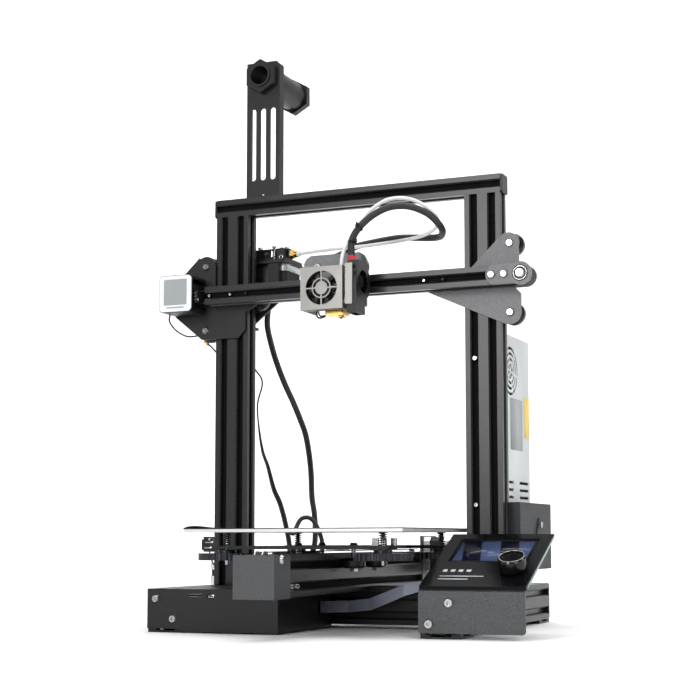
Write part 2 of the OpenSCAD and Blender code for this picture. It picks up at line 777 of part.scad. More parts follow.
module x_belt() {
    color(BLACK) translate([drive_x, beam_y, gantry_z]) rotate([90, 0, 0])
        belt_ring(idler_x - drive_x);
}

module gantry_screws() {
    color(STEEL) {
        for (side = [-1, 1]) {
            for (p = [[wheel_x, wheel_dz], [wheel_x, -wheel_dz], [wheel_in_x, -3]]) {
                if (p[1] != -3) {
                    translate([side * p[0], 0, gantry_z + p[1]]) axle(plate_y, cell / 2);
                } else {
                    translate([side * p[0], plate_y + 0.2, gantry_z + p[1]]) rotate([-90, 0, 0])
                        cylinder(r = 2.45, h = 22, $fn = 24);
                }
            }
        }
        for (x = [-165, -139, -120, 90, 111]) {
            translate([x, beam_y - 7.2, gantry_z]) rotate([90, 0, 0]) screw(2.7, 1.4, 2.1, 2);
        }
        for (x = [166, 179.5]) {
            translate([x, beam_y - cell / 2 - sheet_t, gantry_z]) rotate([90, 0, 0])
                screw(0, 2, 4.4, 3);
        }
        translate([idler_x, beam_y - cell / 2 - sheet_t, gantry_z]) rotate([90, 0, 0]) screw(27, 2.45, 5.6, 3);
    }
}

module gantry_wheels() {
    color([0.2, 0.2, 0.22]) for (side = [-1, 1]) {
        for (p = [[wheel_x, wheel_dz], [wheel_x, -wheel_dz], [wheel_in_x, -3]]) {
            translate([side * p[0], cell / 2, gantry_z + p[1]]) rotate([90, 0, 0]) v_wheel();
        }
    }
}

module extruder_body() {
    s = motor_w;
    color(BLACK) translate([extr_x - s / 2, extr_y - s / 2, extr_z]) difference() {
        union() {
            cube([s, s, 4]);
            // guides on both sides of the gear, the right one holds the fitting
            translate([2, 11.6, 3.9]) cube([10, 7, 11]);
            translate([30, 10.1, 3.9]) cube([10.8, 9.2, 12.3]);
            translate([0, s - 11, 3.9]) cube([s - 12, 11, 11]);
            translate([0, 20, 3.9]) cube([9, s - 20, 12.1]);
        }
        translate([s / 2, s / 2, -1]) cylinder(r = 7, h = 8, $fn = 40);
        translate([-5, filament_y - extr_y + s / 2, 10]) rotate([0, 90, 0])
            cylinder(r = 1.1, h = 60, $fn = 24);
    }
    // pivot screw of the lever
    color(STEEL) translate([lever_x, lever_y, extr_z + 3.9]) {
        cylinder(r = 1.5, h = 12.4, $fn = 32);
        translate([0, 0, 12.3]) cylinder(r = 2.9, h = 2.4, $fn = 32);
    }
    // brass push-in fitting, facing right along the filament path
    color(BRASS) translate([extr_x + s / 2 - 1.5, filament_y, extr_z + 10]) rotate([0, 90, 0])
        difference() {
        union() {
            cylinder(r = 5.5, h = 5.2, $fn = 6);
            translate([0, 0, 5.1]) cylinder(r = 4.3, h = 4, $fn = 32);
            translate([0, 0, 9]) cylinder(r = 3.4, h = 2.8, $fn = 32);
        }
        translate([0, 0, -1]) cylinder(r = 2.2, h = 20, $fn = 24);
    }
}

module extruder_gear() {
    color(BRASS) translate([extr_x, extr_y, extr_z]) {
        cylinder(r = 5.6, h = 12, $fn = 40);
        translate([0, 0, -9]) cylinder(r = 2.5, h = 10, $fn = 32);
    }
}

// Spring-loaded arm in front of the gear, its bearing presses the filament on the gear
module extruder_lever() {
    color(BLACK) difference() {
        translate([lever_x - 4, lever_y - 3.6, extr_z]) {
            translate([0, 0, 4.5]) cube([11, 7, 10.8]);
            translate([0, 0, 13.3]) cube([33, 6.4, 2]);
            translate([0, 0, 4.5]) cube([33, 6.4, 1.6]);
            translate([27, -1.4, 4.5]) cube([9, 6.4, 10.8]);
            translate([33, -5, 4.5]) cube([3, 8, 10.8]);
        }
        translate([lever_x, lever_y, extr_z]) cylinder(r = 1.56, h = 20, $fn = 32);
    }
    color(STEEL) translate([extr_x, filament_y - 0.9 - 5.1, extr_z + 6.3])
        cylinder(r = 5, h = 6.8, $fn = 40);
}

// Tool carriage -------------------------------------------------------------------------

module carriage_plate() {
    w = 36.5;
    top = 34;
    low = -25;
    c = 8;
    color(BLACK) difference() {
        translate([tool_x, -28, gantry_z]) rotate([90, 0, 0]) linear_extrude(3)
            polygon([[-w, low], [w, low], [w, top - c], [w - 3, top - 3], [w - c, top],
                [c - w, top], [3 - w, top - 3], [-w, top - c]]);
        for (p = [[-20, 21], [20, 21], [0, -21]]) {
            translate([tool_x + p[0], -40, gantry_z + p[1]]) rotate([-90, 0, 0])
                cylinder(r = 2.5, h = 10, $fn = 24);
        }
    }
    color(STEEL) for (p = [[-20, 21], [20, 21], [0, -21]]) {
        translate([tool_x + p[0], 0, gantry_z + p[1]]) axle(-31, beam_y);
    }
}

module tool_wheels() {
    color([0.2, 0.2, 0.22]) for (p = [[-20, 21], [20, 21], [0, -21]]) {
        translate([tool_x + p[0], beam_y, gantry_z + p[1]]) rotate([90, 0, 0]) v_wheel();
    }
}

module hotend() {
    fins = 9;
    color(STEEL) translate([nozzle_x, nozzle_y, nozzle_z]) {
        for (i = [0:fins - 1]) {
            translate([-11, -8, 20 + i * 3]) cube([20.4, 22, 1.4]);
        }
        translate([0, 3, 16]) cylinder(r = 5.5, h = 34, $fn = 32);
        translate([0, 3, 11]) cylinder(r = 2, h = 6, $fn = 24);
        translate([-5, 13.9, 20]) cube([10, 7.1, 26]);
    }
    color(BRASS) translate([nozzle_x, nozzle_y, nozzle_z]) {
        translate([-15, -5, 3.4]) cube([20, 16, 9]);
        translate([0, 3, 0]) cylinder(r1 = 0.6, r2 = 3, h = 2, $fn = 24);
        translate([0, 3, 1.9]) cylinder(r = 3.5, h = 1.8, $fn = 6);
        difference() {
            translate([0, 3, 50]) cylinder(r = 4.8, h = 7, $fn = 6);
            translate([0, 3, 52]) cylinder(r = 2.1, h = 7, $fn = 24);
        }
    }
}

module fan_shroud() {
    w = 48;
    h = 45.5;
    d = 40.9;
    t = 1.2;
    grille_r = 17.8;
    color(STEEL) translate([tool_x + 2 - w / 2, tool_front, gantry_z - 32]) difference() {
        union() {
            cube([w, t, h]);
            cube([t, d, h]);
            translate([w - t, 0, 0]) cube([t, d, h]);
            translate([0, 0, h - t]) cube([w, 12, t]);
            cube([w, 12, t]);
        }
        translate([w / 2, -1, h / 2]) rotate([-90, 0, 0]) difference() {
            cylinder(r = grille_r, h = t + 2, $fn = 64);
            cylinder(r = 7, h = t + 2, $fn = 48);
            difference() {
                cylinder(r = 11, h = t + 2, $fn = 48);
                translate([0, 0, -1]) cylinder(r = 9.6, h = t + 4, $fn = 48);
            }
            for (a = [0, 90]) {
                rotate(a) translate([-grille_r, -0.8, 0]) cube([2 * grille_r, 1.6, t + 2]);
            }
        }
    }
    // narrow strip beside the grille, on the blower's front
    color(STEEL) translate([tool_x + 29, tool_front, gantry_z - 28]) {
        cube([8, t, 43]);
        translate([8 - t, 0, 0]) cube([t, 1.9, 43]);
    }
    // fan frame behind the grille
    color(BLACK) translate([tool_x + 2, tool_front + t + 0.1, gantry_z - 32 + h / 2])
        rotate([-90, 0, 0]) difference() {
        translate([-20, -20, 0]) cube([40, 40, 10]);
        translate([0, 0, -1]) cylinder(r = 18.6, h = 10, $fn = 64);
        translate([0, 0, 8.5]) difference() {
            cylinder(r = 18.6, h = 3, $fn = 64);
            translate([0, 0, -1]) cylinder(r = 8, h = 5, $fn = 32);
            for (a = [45, 135]) {
                rotate(a) translate([-20, -1.2, -1]) cube([40, 2.4, 5]);
            }
        }
    }
}

module hotend_fan_rotor() {
    color(BLACK) translate([tool_x + 2, tool_front + 2, gantry_z - 9.25]) rotate([-90, 0, 0])
        rotor(17.8, 7, 7, 8);
}

module blower_case() {
    x0 = tool_x + 30;
    w = 11;
    y0 = -70;
    d = 39;
    z1 = gantry_z + 19;
    cy = y0 + d / 2;
    cz = z1 - 21;
    color(BLACK) difference() {
        union() {
            translate([x0, cy, cz]) rotate([0, 90, 0]) cylinder(r = 19.5, h = w, $fn = 64);
            translate([x0, y0, gantry_z - 37]) cube([w, 24, cz - gantry_z + 37]);
            translate([x0, y0 + 4, z1 - 12]) cube([w, 30, 12]);
        }
        translate([x0 + 1.2, cy, cz]) rotate([0, 90, 0]) cylinder(r = 17.8, h = w - 2.4, $fn = 64);
        translate([x0 + w - 2, cy, cz]) rotate([0, 90, 0]) cylinder(r = 12, h = 4, $fn = 48);
        translate([x0 + 1.2, y0 + 1.2, gantry_z - 38]) cube([w - 2.4, 20, cz - gantry_z + 34]);
    }
}

module blower_rotor() {
    x0 = tool_x + 30;
    color(BLACK) translate([x0 + 2, -50.5, gantry_z - 2]) rotate([0, 90, 0]) {
        cylinder(r = 6, h = 7, $fn = 32);
        cylinder(r = 15.5, h = 1.2, $fn = 48);
        for (i = [0:17]) {
            rotate(i * 20) translate([12.5, -0.4, 1]) cube([3, 0.8, 6]);
        }
    }
}

// Bed ---------------------------------------------------------------------------------------

module bed_carriage() {
    arm = screw_pitch / 2 + 10;
    bar = 24;
    s = screw_pitch / 2;
    color(BLACK) translate([0, bed_y, carriage_z]) difference() {
        union() {
            for (y = [-s, s]) {
                translate([-arm, y - bar / 2, 0]) cube([2 * arm, bar, carriage_t]);
            }
            translate([-52, -s, 0]) cube([104, 2 * s, carriage_t]);
            translate([-8, -12, -1.2]) cube([16, 24, 1.3]);
            for (tab = [[69, 7], [79, 5], [89, 6]]) {
                translate([tab[0], bar / 2 - s - 2, carriage_t - 0.1]) cube([tab[1], 2, 7.6]);
            }
        }
        for (x = [-s, s], y = [-s, s]) {
            translate([x, y, -1]) cylinder(r = 2.6, h = 8, $fn = 24);
        }
        for (x = [-cell - wheel_off, cell + wheel_off], y = [-30, 30]) {
            translate([x, y, -1]) cylinder(r = 2.5, h = 8, $fn = 24);
        }
    }
    // wheel axles, held by the plate
    color(STEEL) for (x = [-cell - wheel_off, cell + wheel_off], y = [-30, 30]) {
        translate([x, bed_y + y, carriage_z + carriage_t]) screw(26.5, 2.45, 4.4, 3);
        translate([x, bed_y + y, bed_beam_z + 1.6]) difference() {
            cylinder(r = 4.4, h = 3, $fn = 6);
            translate([0, 0, -1]) cylinder(r = 2.5, h = 7, $fn = 24);
        }
    }
}

module bed_wheels() {
    color([0.2, 0.2, 0.22]) for (x = [-cell - wheel_off, cell + wheel_off], y = [-30, 30]) {
        translate([x, bed_y + y, bed_beam_z + 10]) v_wheel();
    }
}

// Springs as tubes of their outer size, with the levelling screws inside
module bed_springs() {
    s = screw_pitch / 2;
    for (x = [-s, s], y = [-s, s]) {
        color(STEEL) translate([x, bed_y + y, carriage_z + carriage_t]) difference() {
            cylinder(r = 4.4, h = bed_plate_z - carriage_z - carriage_t, $fn = 32);
            translate([0, 0, -1]) cylinder(r = 3.2, h = 30, $fn = 32);
        }
        color(STEEL) translate([x, bed_y + y, bed_plate_z - 33]) cylinder(r = 2, h = 33, $fn = 24);
    }
}

module heated_bed() {
    color([0.78, 0.79, 0.8]) translate([-bed_w / 2, bed_y - bed_w / 2, bed_plate_z])
        cube([bed_w, bed_w, bed_plate_t]);
}

module magnetic_sheet() {
    color([0.1, 0.1, 0.11]) translate([-bed_w / 2, bed_y - bed_w / 2, bed_plate_z + bed_plate_t])
        cube([bed_w, bed_w, bed_sheet_t]);
}

module levelling_knob(sx, sy) {
    notches = 30;
    color(BLACK) translate([sx * screw_pitch / 2, bed_y + sy * screw_pitch / 2, knob_z]) difference() {
        union() {
            cylinder(r = knob_r, h = knob_t, $fn = 72);
            cylinder(r = 9, h = knob_t + 3.4, $fn = 40);
        }
        translate([0, 0, -1]) cylinder(r = 2.08, h = 20, $fn = 24);
        for (i = [0:notches - 1]) {
            rotate(i * 360 / notches) translate([knob_r + 0.7, 0, -1]) cylinder(r = 1.9, h = 12, $fn = 16);
        }
    }
}

module knob_front_left() { levelling_knob(-1, -1); }
module knob_front_right() { levelling_knob(1, -1); }
module knob_back_left() { levelling_knob(-1, 1); }
module knob_back_right() { levelling_knob(1, 1); }

// Cords --------------------------------------------------------------------------------------

// From the extruder's fitting, out to the right, round and into the hotend
tube_route = [[-85.9, 49.5, 420], [-78, 49.5, 420.3], [-60, 48, 421], [-38.9, 45, 421], [-8.5, 38, 419.7], [12.4, 31, 418.9], [45.6, 22, 418.9],
    [71.5, 15, 420.3], [87.7, 10, 424.1], [95.4, 6, 429.8], [97.2, 1, 436.8], [91.3, -8, 445], [77.6, -17, 453.1], [62.8, -23, 455.6],
    [47.6, -28, 452.5], [32, -32, 441.3], [21.7, -35, 428], [13.3, -39, 412.9], [8.3, -44, 399.7], [7.4, -48, 390], [7, -49, 382.4]];
harness_route = [[22, -54, 386.4], [19.9, -52.5, 400], [20.6, -50, 409.8], [23.9, -47, 418.4], [30.8, -43, 427.8], [40.6, -39, 436.4], [52.8, -34, 443.2],
    [65.1, -29, 445.9], [79.8, -23, 445.4], [93.5, -14, 438.9], [101.5, -5, 429.8], [101.8, 4, 423.5], [94.3, 14, 419.8], [80.1, 23, 419.8],
    [59.8, 31, 423.2], [39.5, 38, 425.8], [19.6, 43, 425.7], [3, 47, 424.9], [-16.5, 50, 422.9], [-32, 54, 418], [-50, 61, 414],
    [-66, 68, 410], [-84, 76, 402], [-94, 82, 390], [-96, 84, 360]];
right_cable_route = [[-132, 60, 368.5], [-132, 60, 361], [-135, 64, 342], [-133, 68, 324], [-128, 72, 302], [-120, 78, 276], [-112, 86, 253],
    [-106, 94, 232], [-103, 102, 215], [-103, 112, 192], [-106, 124, 170], [-113, 142, 144], [-117, 158, 124], [-122, 172, 102],
    [-128, 180, 82], [-136, 174, 62], [-136, 150, 54], [-130, 110, 50], [-120, 70, 50], [-112, 40, 50], [-106, 10, 50],
    [-104, -10, 51], [-104, -24, 51], [-104, -31, 49], [-104, -32, 44.8]];
left_cable_route = [[-196, 34.8, 358], [-195, 48, 354], [-189, 68, 336], [-174, 78, 312], [-158, 80, 292], [-150, 82, 277], [-158, 86, 252],
    [-158, 90, 224], [-155, 94, 197], [-150, 98, 179], [-148, 110, 153], [-146, 124, 135], [-146, 140, 109], [-146, 150, 84],
    [-143, 142, 64], [-136, 110, 60], [-130, 70, 59], [-124, 40, 58], [-118, 12, 58], [-114, -10, 58], [-114, -28, 55],
    [-114, -36, 50], [-114, -37, 44.8]];
bed_cable_route = [[-108, 76.2, 100.5], [-109, 84, 101], [-110, 92, 108], [-107, 98, 117], [-100, 101, 119], [-94, 104, 115], [-88, 106, 104],
    [-84, 107, 88], [-84, 96, 68], [-86, 60, 57], [-90, 20, 56], [-92, -4, 56], [-92, -26, 55], [-92, -36, 51],
    [-92, -37, 44.6]];

module filament_tube() {
    color("white") tube(smooth(tube_route, 4), 2, 8, [0, 0, 1]);
}

module tool_harness() {
    color(BLACK) tube(smooth(harness_route, 4), 3.8, 10, [0, 1, 0]);
}

module side_cables() {
    color(BLACK) {
        tube(smooth(right_cable_route, 3), 3.4, 8, [0, 1, 0]);
        tube(smooth(left_cable_route, 3), 2.6, 8, [0, 1, 0]);
    }
}

module bed_cable() {
    color(BLACK) tube(smooth(bed_cable_route, 4), 2.6, 8, [1, 0, 0]);
}

base_beams();
bed_beam();
uprights();
top_bar();
end_caps();
feet();
spool_plate();
spool_arm();
electronics_box();
circuit_boards();
psu_case();
psu_cover();
lcd_bracket();
lcd_panel();
frame_motors();
bed_beam_brackets();
bed_belt();
frame_screws();
ribbon_cable();
lead_screw();
bed_pulley();
bed_idler();
psu_fan_rotor();
mains_inlet();
psu_switch();
encoder_stem();
lcd_knob();
tool_beam();
left_plate();
right_plate();
x_drive_box();
gantry_motors();
extruder_body();
x_belt();
gantry_screws();
gantry_wheels();
x_pulley();
x_idler();
extruder_gear();
extruder_lever();
carriage_plate();
hotend();
fan_shroud();
blower_case();
tool_wheels();
hotend_fan_rotor();
blower_rotor();
bed_carriage();
bed_springs();
heated_bed();
magnetic_sheet();
bed_wheels();
knob_front_left();
knob_front_right();
knob_back_left();
knob_back_right();
filament_tube();
tool_harness();
side_cables();
bed_cable();
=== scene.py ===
"""Looks of the open-frame printer: finishes on the CAD nodes, and the pieces that are only seen."""
import json
import math

import bmesh
import bpy
from mathutils import Matrix, Vector


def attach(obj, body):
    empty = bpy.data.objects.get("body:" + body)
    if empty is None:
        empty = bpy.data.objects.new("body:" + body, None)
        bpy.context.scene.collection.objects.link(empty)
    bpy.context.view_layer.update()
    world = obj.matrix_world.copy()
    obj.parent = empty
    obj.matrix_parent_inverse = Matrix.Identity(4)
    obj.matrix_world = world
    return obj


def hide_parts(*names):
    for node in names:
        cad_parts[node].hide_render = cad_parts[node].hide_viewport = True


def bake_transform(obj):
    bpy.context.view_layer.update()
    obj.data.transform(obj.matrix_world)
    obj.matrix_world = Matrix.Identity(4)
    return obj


MM = 0.001
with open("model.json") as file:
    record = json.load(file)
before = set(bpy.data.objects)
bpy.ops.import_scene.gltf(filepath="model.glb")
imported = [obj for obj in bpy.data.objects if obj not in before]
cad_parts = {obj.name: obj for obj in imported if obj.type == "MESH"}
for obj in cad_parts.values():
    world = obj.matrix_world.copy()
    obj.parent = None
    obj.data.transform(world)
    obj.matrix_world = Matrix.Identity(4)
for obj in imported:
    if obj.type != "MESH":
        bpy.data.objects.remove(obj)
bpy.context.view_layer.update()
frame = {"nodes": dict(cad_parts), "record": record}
NODES = frame["nodes"]

# ---------------------------------------------------------------------------
# Materials


def new_material(name):
    mat = bpy.data.materials.new(name)
    mat.use_nodes = True
    tree = mat.node_tree
    bsdf = next(n for n in tree.nodes if n.type == "BSDF_PRINCIPLED")
    return mat, tree, bsdf


def add(tree, kind, **values):
    node = tree.nodes.new(kind)
    for key, value in values.items():
        setattr(node, key, value)
    return node


def noise(tree, scale, detail=3.0, stretch=(1, 1, 1), coords="Object"):
    where = add(tree, "ShaderNodeTexCoord")
    mapping = add(tree, "ShaderNodeMapping")
    mapping.inputs["Scale"].default_value = stretch
    tex = add(tree, "ShaderNodeTexNoise")
    tex.inputs["Scale"].default_value = scale
    tex.inputs["Detail"].default_value = detail
    tree.links.new(where.outputs[coords], mapping.inputs["Vector"])
    tree.links.new(mapping.outputs["Vector"], tex.inputs["Vector"])
    return tex


def ramp(tree, source, low, high, start=0.3, end=0.7):
    node = add(tree, "ShaderNodeValToRGB")
    node.color_ramp.elements[0].position = start
    node.color_ramp.elements[1].position = end
    node.color_ramp.elements[0].color = (*low, 1)
    node.color_ramp.elements[1].color = (*high, 1)
    tree.links.new(source, node.inputs["Fac"])
    return node.outputs["Color"]


def spread(tree, source, low, high):
    node = add(tree, "ShaderNodeMapRange")
    node.inputs["To Min"].default_value = low
    node.inputs["To Max"].default_value = high
    tree.links.new(source, node.inputs["Value"])
    return node.outputs["Result"]


def surface(name, color, rough, metallic=0.0, grain=900.0, bump=0.05, vary=0.12, edge=0.35,
            stretch=(1, 1, 1), spec=0.5, glint_color=None):
    """A finish with slight patches in tone and gloss, a fine grain and softened edges.

    grain and stretch set the fine noise, vary the spread of tone, edge the softened radius in mm,
    and the last argument the colour of lighter specks: painted glints, standing for the speckled
    sheen of a textured coat."""
    mat, tree, bsdf = new_material(name)
    patches = noise(tree, 14.0, 4.0)
    fine = noise(tree, grain, 2.0, stretch)
    low = tuple(c * (1 - vary) for c in color)
    high = tuple(min(1.0, c * (1 + vary)) for c in color)
    base = ramp(tree, patches.outputs["Fac"], low, high)
    # lighter specks mixed into the colour: painted glints of the coat's sheen
    if glint_color:
        glint_mask = ramp(tree, fine.outputs["Fac"], (0, 0, 0), (1, 1, 1), 0.52, 0.68)
        mix = add(tree, "ShaderNodeMixRGB")
        mix.inputs["Color2"].default_value = (*glint_color, 1)
        tree.links.new(glint_mask, mix.inputs["Fac"])
        tree.links.new(base, mix.inputs["Color1"])
        base = mix.outputs["Color"]
    tree.links.new(base, bsdf.inputs["Base Color"])
    tree.links.new(spread(tree, fine.outputs["Fac"], rough * 0.82, min(1.0, rough * 1.18)),
                   bsdf.inputs["Roughness"])
    bsdf.inputs["Metallic"].default_value = metallic
    bsdf.inputs["Specular IOR Level"].default_value = spec
    bumped = add(tree, "ShaderNodeBump")
    bumped.inputs["Strength"].default_value = bump
    bumped.inputs["Distance"].default_value = 0.0004
    tree.links.new(fine.outputs["Fac"], bumped.inputs["Height"])
    if edge:
        soft = add(tree, "ShaderNodeBevel", samples=4)
        soft.inputs["Radius"].default_value = edge * MM
        tree.links.new(soft.outputs["Normal"], bumped.inputs["Normal"])
    tree.links.new(bumped.outputs["Normal"], bsdf.inputs["Normal"])
    return mat


def braid(name, color, pitch, around):
    """Woven sleeve: two families of crossing strands on the tube's own coordinates, the strands'
    crowns painted lighter as highlights and the gaps painted darker as shade.
    """
    mat, tree, bsdf = new_material(name)
    where = add(tree, "ShaderNodeTexCoord")
    split = add(tree, "ShaderNodeSeparateXYZ")
    tree.links.new(where.outputs["UV"], split.inputs["Vector"])
    waves = []
    for sign in (1, -1):
        across = add(tree, "ShaderNodeMath", operation="MULTIPLY")
        across.inputs[1].default_value = around * sign
        tree.links.new(split.outputs["X"], across.inputs[0])
        along = add(tree, "ShaderNodeMath", operation="MULTIPLY")
        along.inputs[1].default_value = 1.0 / pitch
        tree.links.new(split.outputs["Y"], along.inputs[0])
        total = add(tree, "ShaderNodeMath", operation="ADD")
        tree.links.new(across.outputs[0], total.inputs[0])
        tree.links.new(along.outputs[0], total.inputs[1])
        turn = add(tree, "ShaderNodeMath", operation="MULTIPLY")
        turn.inputs[1].default_value = 2 * math.pi
        tree.links.new(total.outputs[0], turn.inputs[0])
        sine = add(tree, "ShaderNodeMath", operation="SINE")
        tree.links.new(turn.outputs[0], sine.inputs[0])
        waves.append(sine.outputs[0])
    over = add(tree, "ShaderNodeMath", operation="MULTIPLY")
    tree.links.new(waves[0], over.inputs[0])
    tree.links.new(waves[1], over.inputs[1])
    height = spread(tree, over.outputs[0], 0.0, 1.0)
    height.node.inputs["From Min"].default_value = -1.0
    # painted shade in the gaps between strands, painted highlight on the strands' crowns
    gap_shade_color = tuple(c * 0.35 for c in color)
    strand_highlight_color = tuple(c * 3.0 for c in color)
    base = ramp(tree, height, gap_shade_color, strand_highlight_color, 0.3, 0.9)
    tree.links.new(base, bsdf.inputs["Base Color"])
    bsdf.inputs["Roughness"].default_value = 0.5
    bumped = add(tree, "ShaderNodeBump")
    bumped.inputs["Strength"].default_value = 0.8
    bumped.inputs["Distance"].default_value = 0.0006
    tree.links.new(height, bumped.inputs["Height"])
    tree.links.new(bumped.outputs["Normal"], bsdf.inputs["Normal"])
    return mat


MAT = {
    "profile": surface("anodised_profile", (0.014, 0.014, 0.0155), 0.29, 0.0, 500, 0.05,
                       spec=0.4),
    # painted shade: a darker copy of the anodised profile, for the base beams
    "base_profile_painted_shade": surface("base_profile_painted_shade", (0.009, 0.009, 0.010), 0.32, 0.0, 500, 0.05,
                            spec=0.3),
    "black_steel": surface("black_powder_coat", (0.009, 0.009, 0.010), 0.42, 0.0, 2600, 0.30,
                           spec=0.30),
    "grey_steel": surface("textured_grey_coat", (0.024, 0.026, 0.029), 0.38, 0.0, 1500, 0.75,
                          glint_color=(0.10, 0.104, 0.112), spec=0.55),
    # painted sheen: a lighter copy of the grey coat, for the plates that catch the sheen high at
    # the front
    "plate_grey_painted_sheen": surface("plate_grey_coat", (0.088, 0.090, 0.094), 0.34, 0.0, 1300, 0.8,
                          glint_color=(0.21, 0.214, 0.222), spec=0.8),
    "box_steel": surface("box_powder_coat", (0.008, 0.008, 0.009), 0.42, 0.0, 1700, 0.40,
                         glint_color=(0.022, 0.023, 0.026), spec=0.28),
    "bare_steel": surface("bare_steel", (0.52, 0.52, 0.53), 0.26, 1.0, 700, 0.03),
    "zinc": surface("zinc_screws", (0.42, 0.42, 0.415), 0.20, 1.0, 1500, 0.05),
    "psu_steel": surface("galvanised_sheet", (0.55, 0.58, 0.585), 0.42, 0.35, 420, 0.04),
    "alu": surface("turned_aluminium", (0.70, 0.71, 0.72), 0.28, 1.0, 800, 0.03),
    "shroud": surface("brushed_shroud", (0.23, 0.224, 0.212), 0.33, 0.55, 600, 0.10,
                      stretch=(1, 1, 14)),
    "black_plastic": surface("black_plastic", (0.008, 0.008, 0.009), 0.38, 0.0, 1800, 0.10,
                             spec=0.3),
    "knob_plastic": surface("knob_plastic", (0.012, 0.014, 0.019), 0.30, 0.0, 1500, 0.05,
                            edge=0.5, spec=0.45),
    "cover_plastic": surface("cover_coat", (0.030, 0.032, 0.036), 0.55, 0.1, 160, 0.5,
                             stretch=(0.15, 0.15, 6), spec=0.3),
    "wheel": surface("wheel_plastic", (0.008, 0.008, 0.009), 0.28, 0.0, 900, 0.03, spec=0.35),
    "board": surface("circuit_board", (0.01, 0.07, 0.03), 0.35, 0.0, 900, 0.10),
    "panel": surface("panel_acrylic", (0.0030, 0.0030, 0.0040), 0.16, 0.0, 900, 0.0, spec=0.10),
    "gloss_black": surface("gloss_black", (0.0035, 0.0035, 0.004), 0.16, 0.0, 900, 0.0, edge=0.5,
                           spec=0.35),
    "belt": surface("belt_rubber", (0.008, 0.008, 0.008), 0.6, 0.0, 1600, 0.2, edge=0),
    "brass": surface("brass", (0.66, 0.43, 0.14), 0.24, 1.0, 900, 0.04),
    "ribbon": surface("ribbon_grey", (0.20, 0.215, 0.27), 0.42, 0.0, 300, 0.2, edge=0,
                      stretch=(0.1, 0.1, 12)),
    "sheet": surface("magnetic_sheet", (0.010, 0.010, 0.011), 0.55, 0.0, 3000, 0.35, edge=0.2),
    "bed_alu": surface("heated_plate", (0.62, 0.63, 0.65), 0.35, 0.6, 500, 0.05),
    "wire": surface("wire_sleeve", (0.008, 0.008, 0.008), 0.5, 0.0, 700, 0.15, edge=0),
    "white_tube": surface("white_tube", (0.74, 0.76, 0.79), 0.28, 0.0, 500, 0.02, edge=0),
    "red": surface("red_sleeve", (0.50, 0.02, 0.03), 0.40, 0.0, 700, 0.25, edge=0),
    "label": surface("label_white", (0.74, 0.75, 0.77), 0.35, 0.0, 500, 0.02, vary=0.02),
    "label_grey": surface("label_grey", (0.30, 0.32, 0.33), 0.42, 0.0, 500, 0.02, vary=0.05),
    "label_amber": surface("label_amber", (0.75, 0.55, 0.12), 0.5, 0.0, 500, 0.02),
    # near black: the own colour of the display window's border, and painted shade in slots, the
    # idler gap and the card slot
    "dark": surface("black_and_painted_shade", (0.003, 0.003, 0.003), 0.7, 0.0, 500, 0.02, edge=0,
                    spec=0.1),
    "spring": surface("spring_steel", (0.10, 0.10, 0.105), 0.30, 1.0, 900, 0.03, edge=0),
    "clear_edge": surface("clear_edge", (0.20, 0.29, 0.26), 0.12, 0.0, 500, 0.0, edge=0),
    "print_light": surface("panel_marking", (0.55, 0.56, 0.58), 0.4, 0.0, 500, 0.0, edge=0),
    "braid": braid("braided_sleeve", (0.010, 0.0098, 0.0095), 0.0042, 7),
    "paper": surface("studio_paper", (0.90, 0.90, 0.90), 0.8, 0.0, 200, 0.0, vary=0.01, edge=0),
}


def screen_material():
    """Dark blue display glass with a soft slanting sheen painted into its colour, as a switched-off
    screen shows it.
    """
    mat, tree, bsdf = new_material("display_glass")
    where = add(tree, "ShaderNodeTexCoord")
    mapping = add(tree, "ShaderNodeMapping")
    mapping.inputs["Rotation"].default_value = (0, 0, math.radians(-14))
    mapping.inputs["Location"].default_value = (0.012, 0, 0)
    tree.links.new(where.outputs["Object"], mapping.inputs["Vector"])
    sheen_bands = add(tree, "ShaderNodeTexWave")
    sheen_bands.inputs["Scale"].default_value = 8.5
    sheen_bands.inputs["Distortion"].default_value = 0.0
    tree.links.new(mapping.outputs["Vector"], sheen_bands.inputs["Vector"])
    # lighter slanting bands in the colour: painted reflection on the glass
    base = ramp(tree, sheen_bands.outputs["Fac"], (0.004, 0.006, 0.014), (0.055, 0.075, 0.155),
                0.42, 0.55)
    tree.links.new(base, bsdf.inputs["Base Color"])
    bsdf.inputs["Roughness"].default_value = 0.12
    bsdf.inputs["Specular IOR Level"].default_value = 0.15
    return mat


MAT["screen"] = screen_material()
# the carriage and right plates get the lighter grey coat copy, which is painted sheen
NODE_FINISH = {"filament_tube": "white_tube", "tool_harness": "wire", "side_cables": "wire",
               "bed_cable": "wire", "magnetic_sheet": "sheet", "heated_bed": "bed_alu",
               "lcd_knob": "gloss_black", "carriage_plate": "plate_grey_painted_sheen",
               "right_plate": "plate_grey_painted_sheen", "base_beams": "base_profile_painted_shade"}
SLOT_OF = {s["node"]: s["material_slot"] for s in frame["record"]["subparts"]}


def finish_of(node):
    return MAT[NODE_FINISH.get(node) or SLOT_OF[node]]


for node_name, obj in NODES.items():
    obj.data.materials.clear()
    obj.data.materials.append(finish_of(node_name))


def paint(node, finish, test):
    """Gives the faces of a CAD node whose middle (in mm) passes the test another finish."""
    mesh = NODES[node].data
    mesh.materials.append(MAT[finish])
    index = len(mesh.materials) - 1
    for face in mesh.polygons:
        x, y, z = (c / MM for c in face.center)
        if test(x, y, z):
            face.material_index = index


def near(a, b, a0, b0, radius):
    """True if the point a, b lies within radius of a0, b0."""
    return math.hypot(a - a0, b - b0) < radius


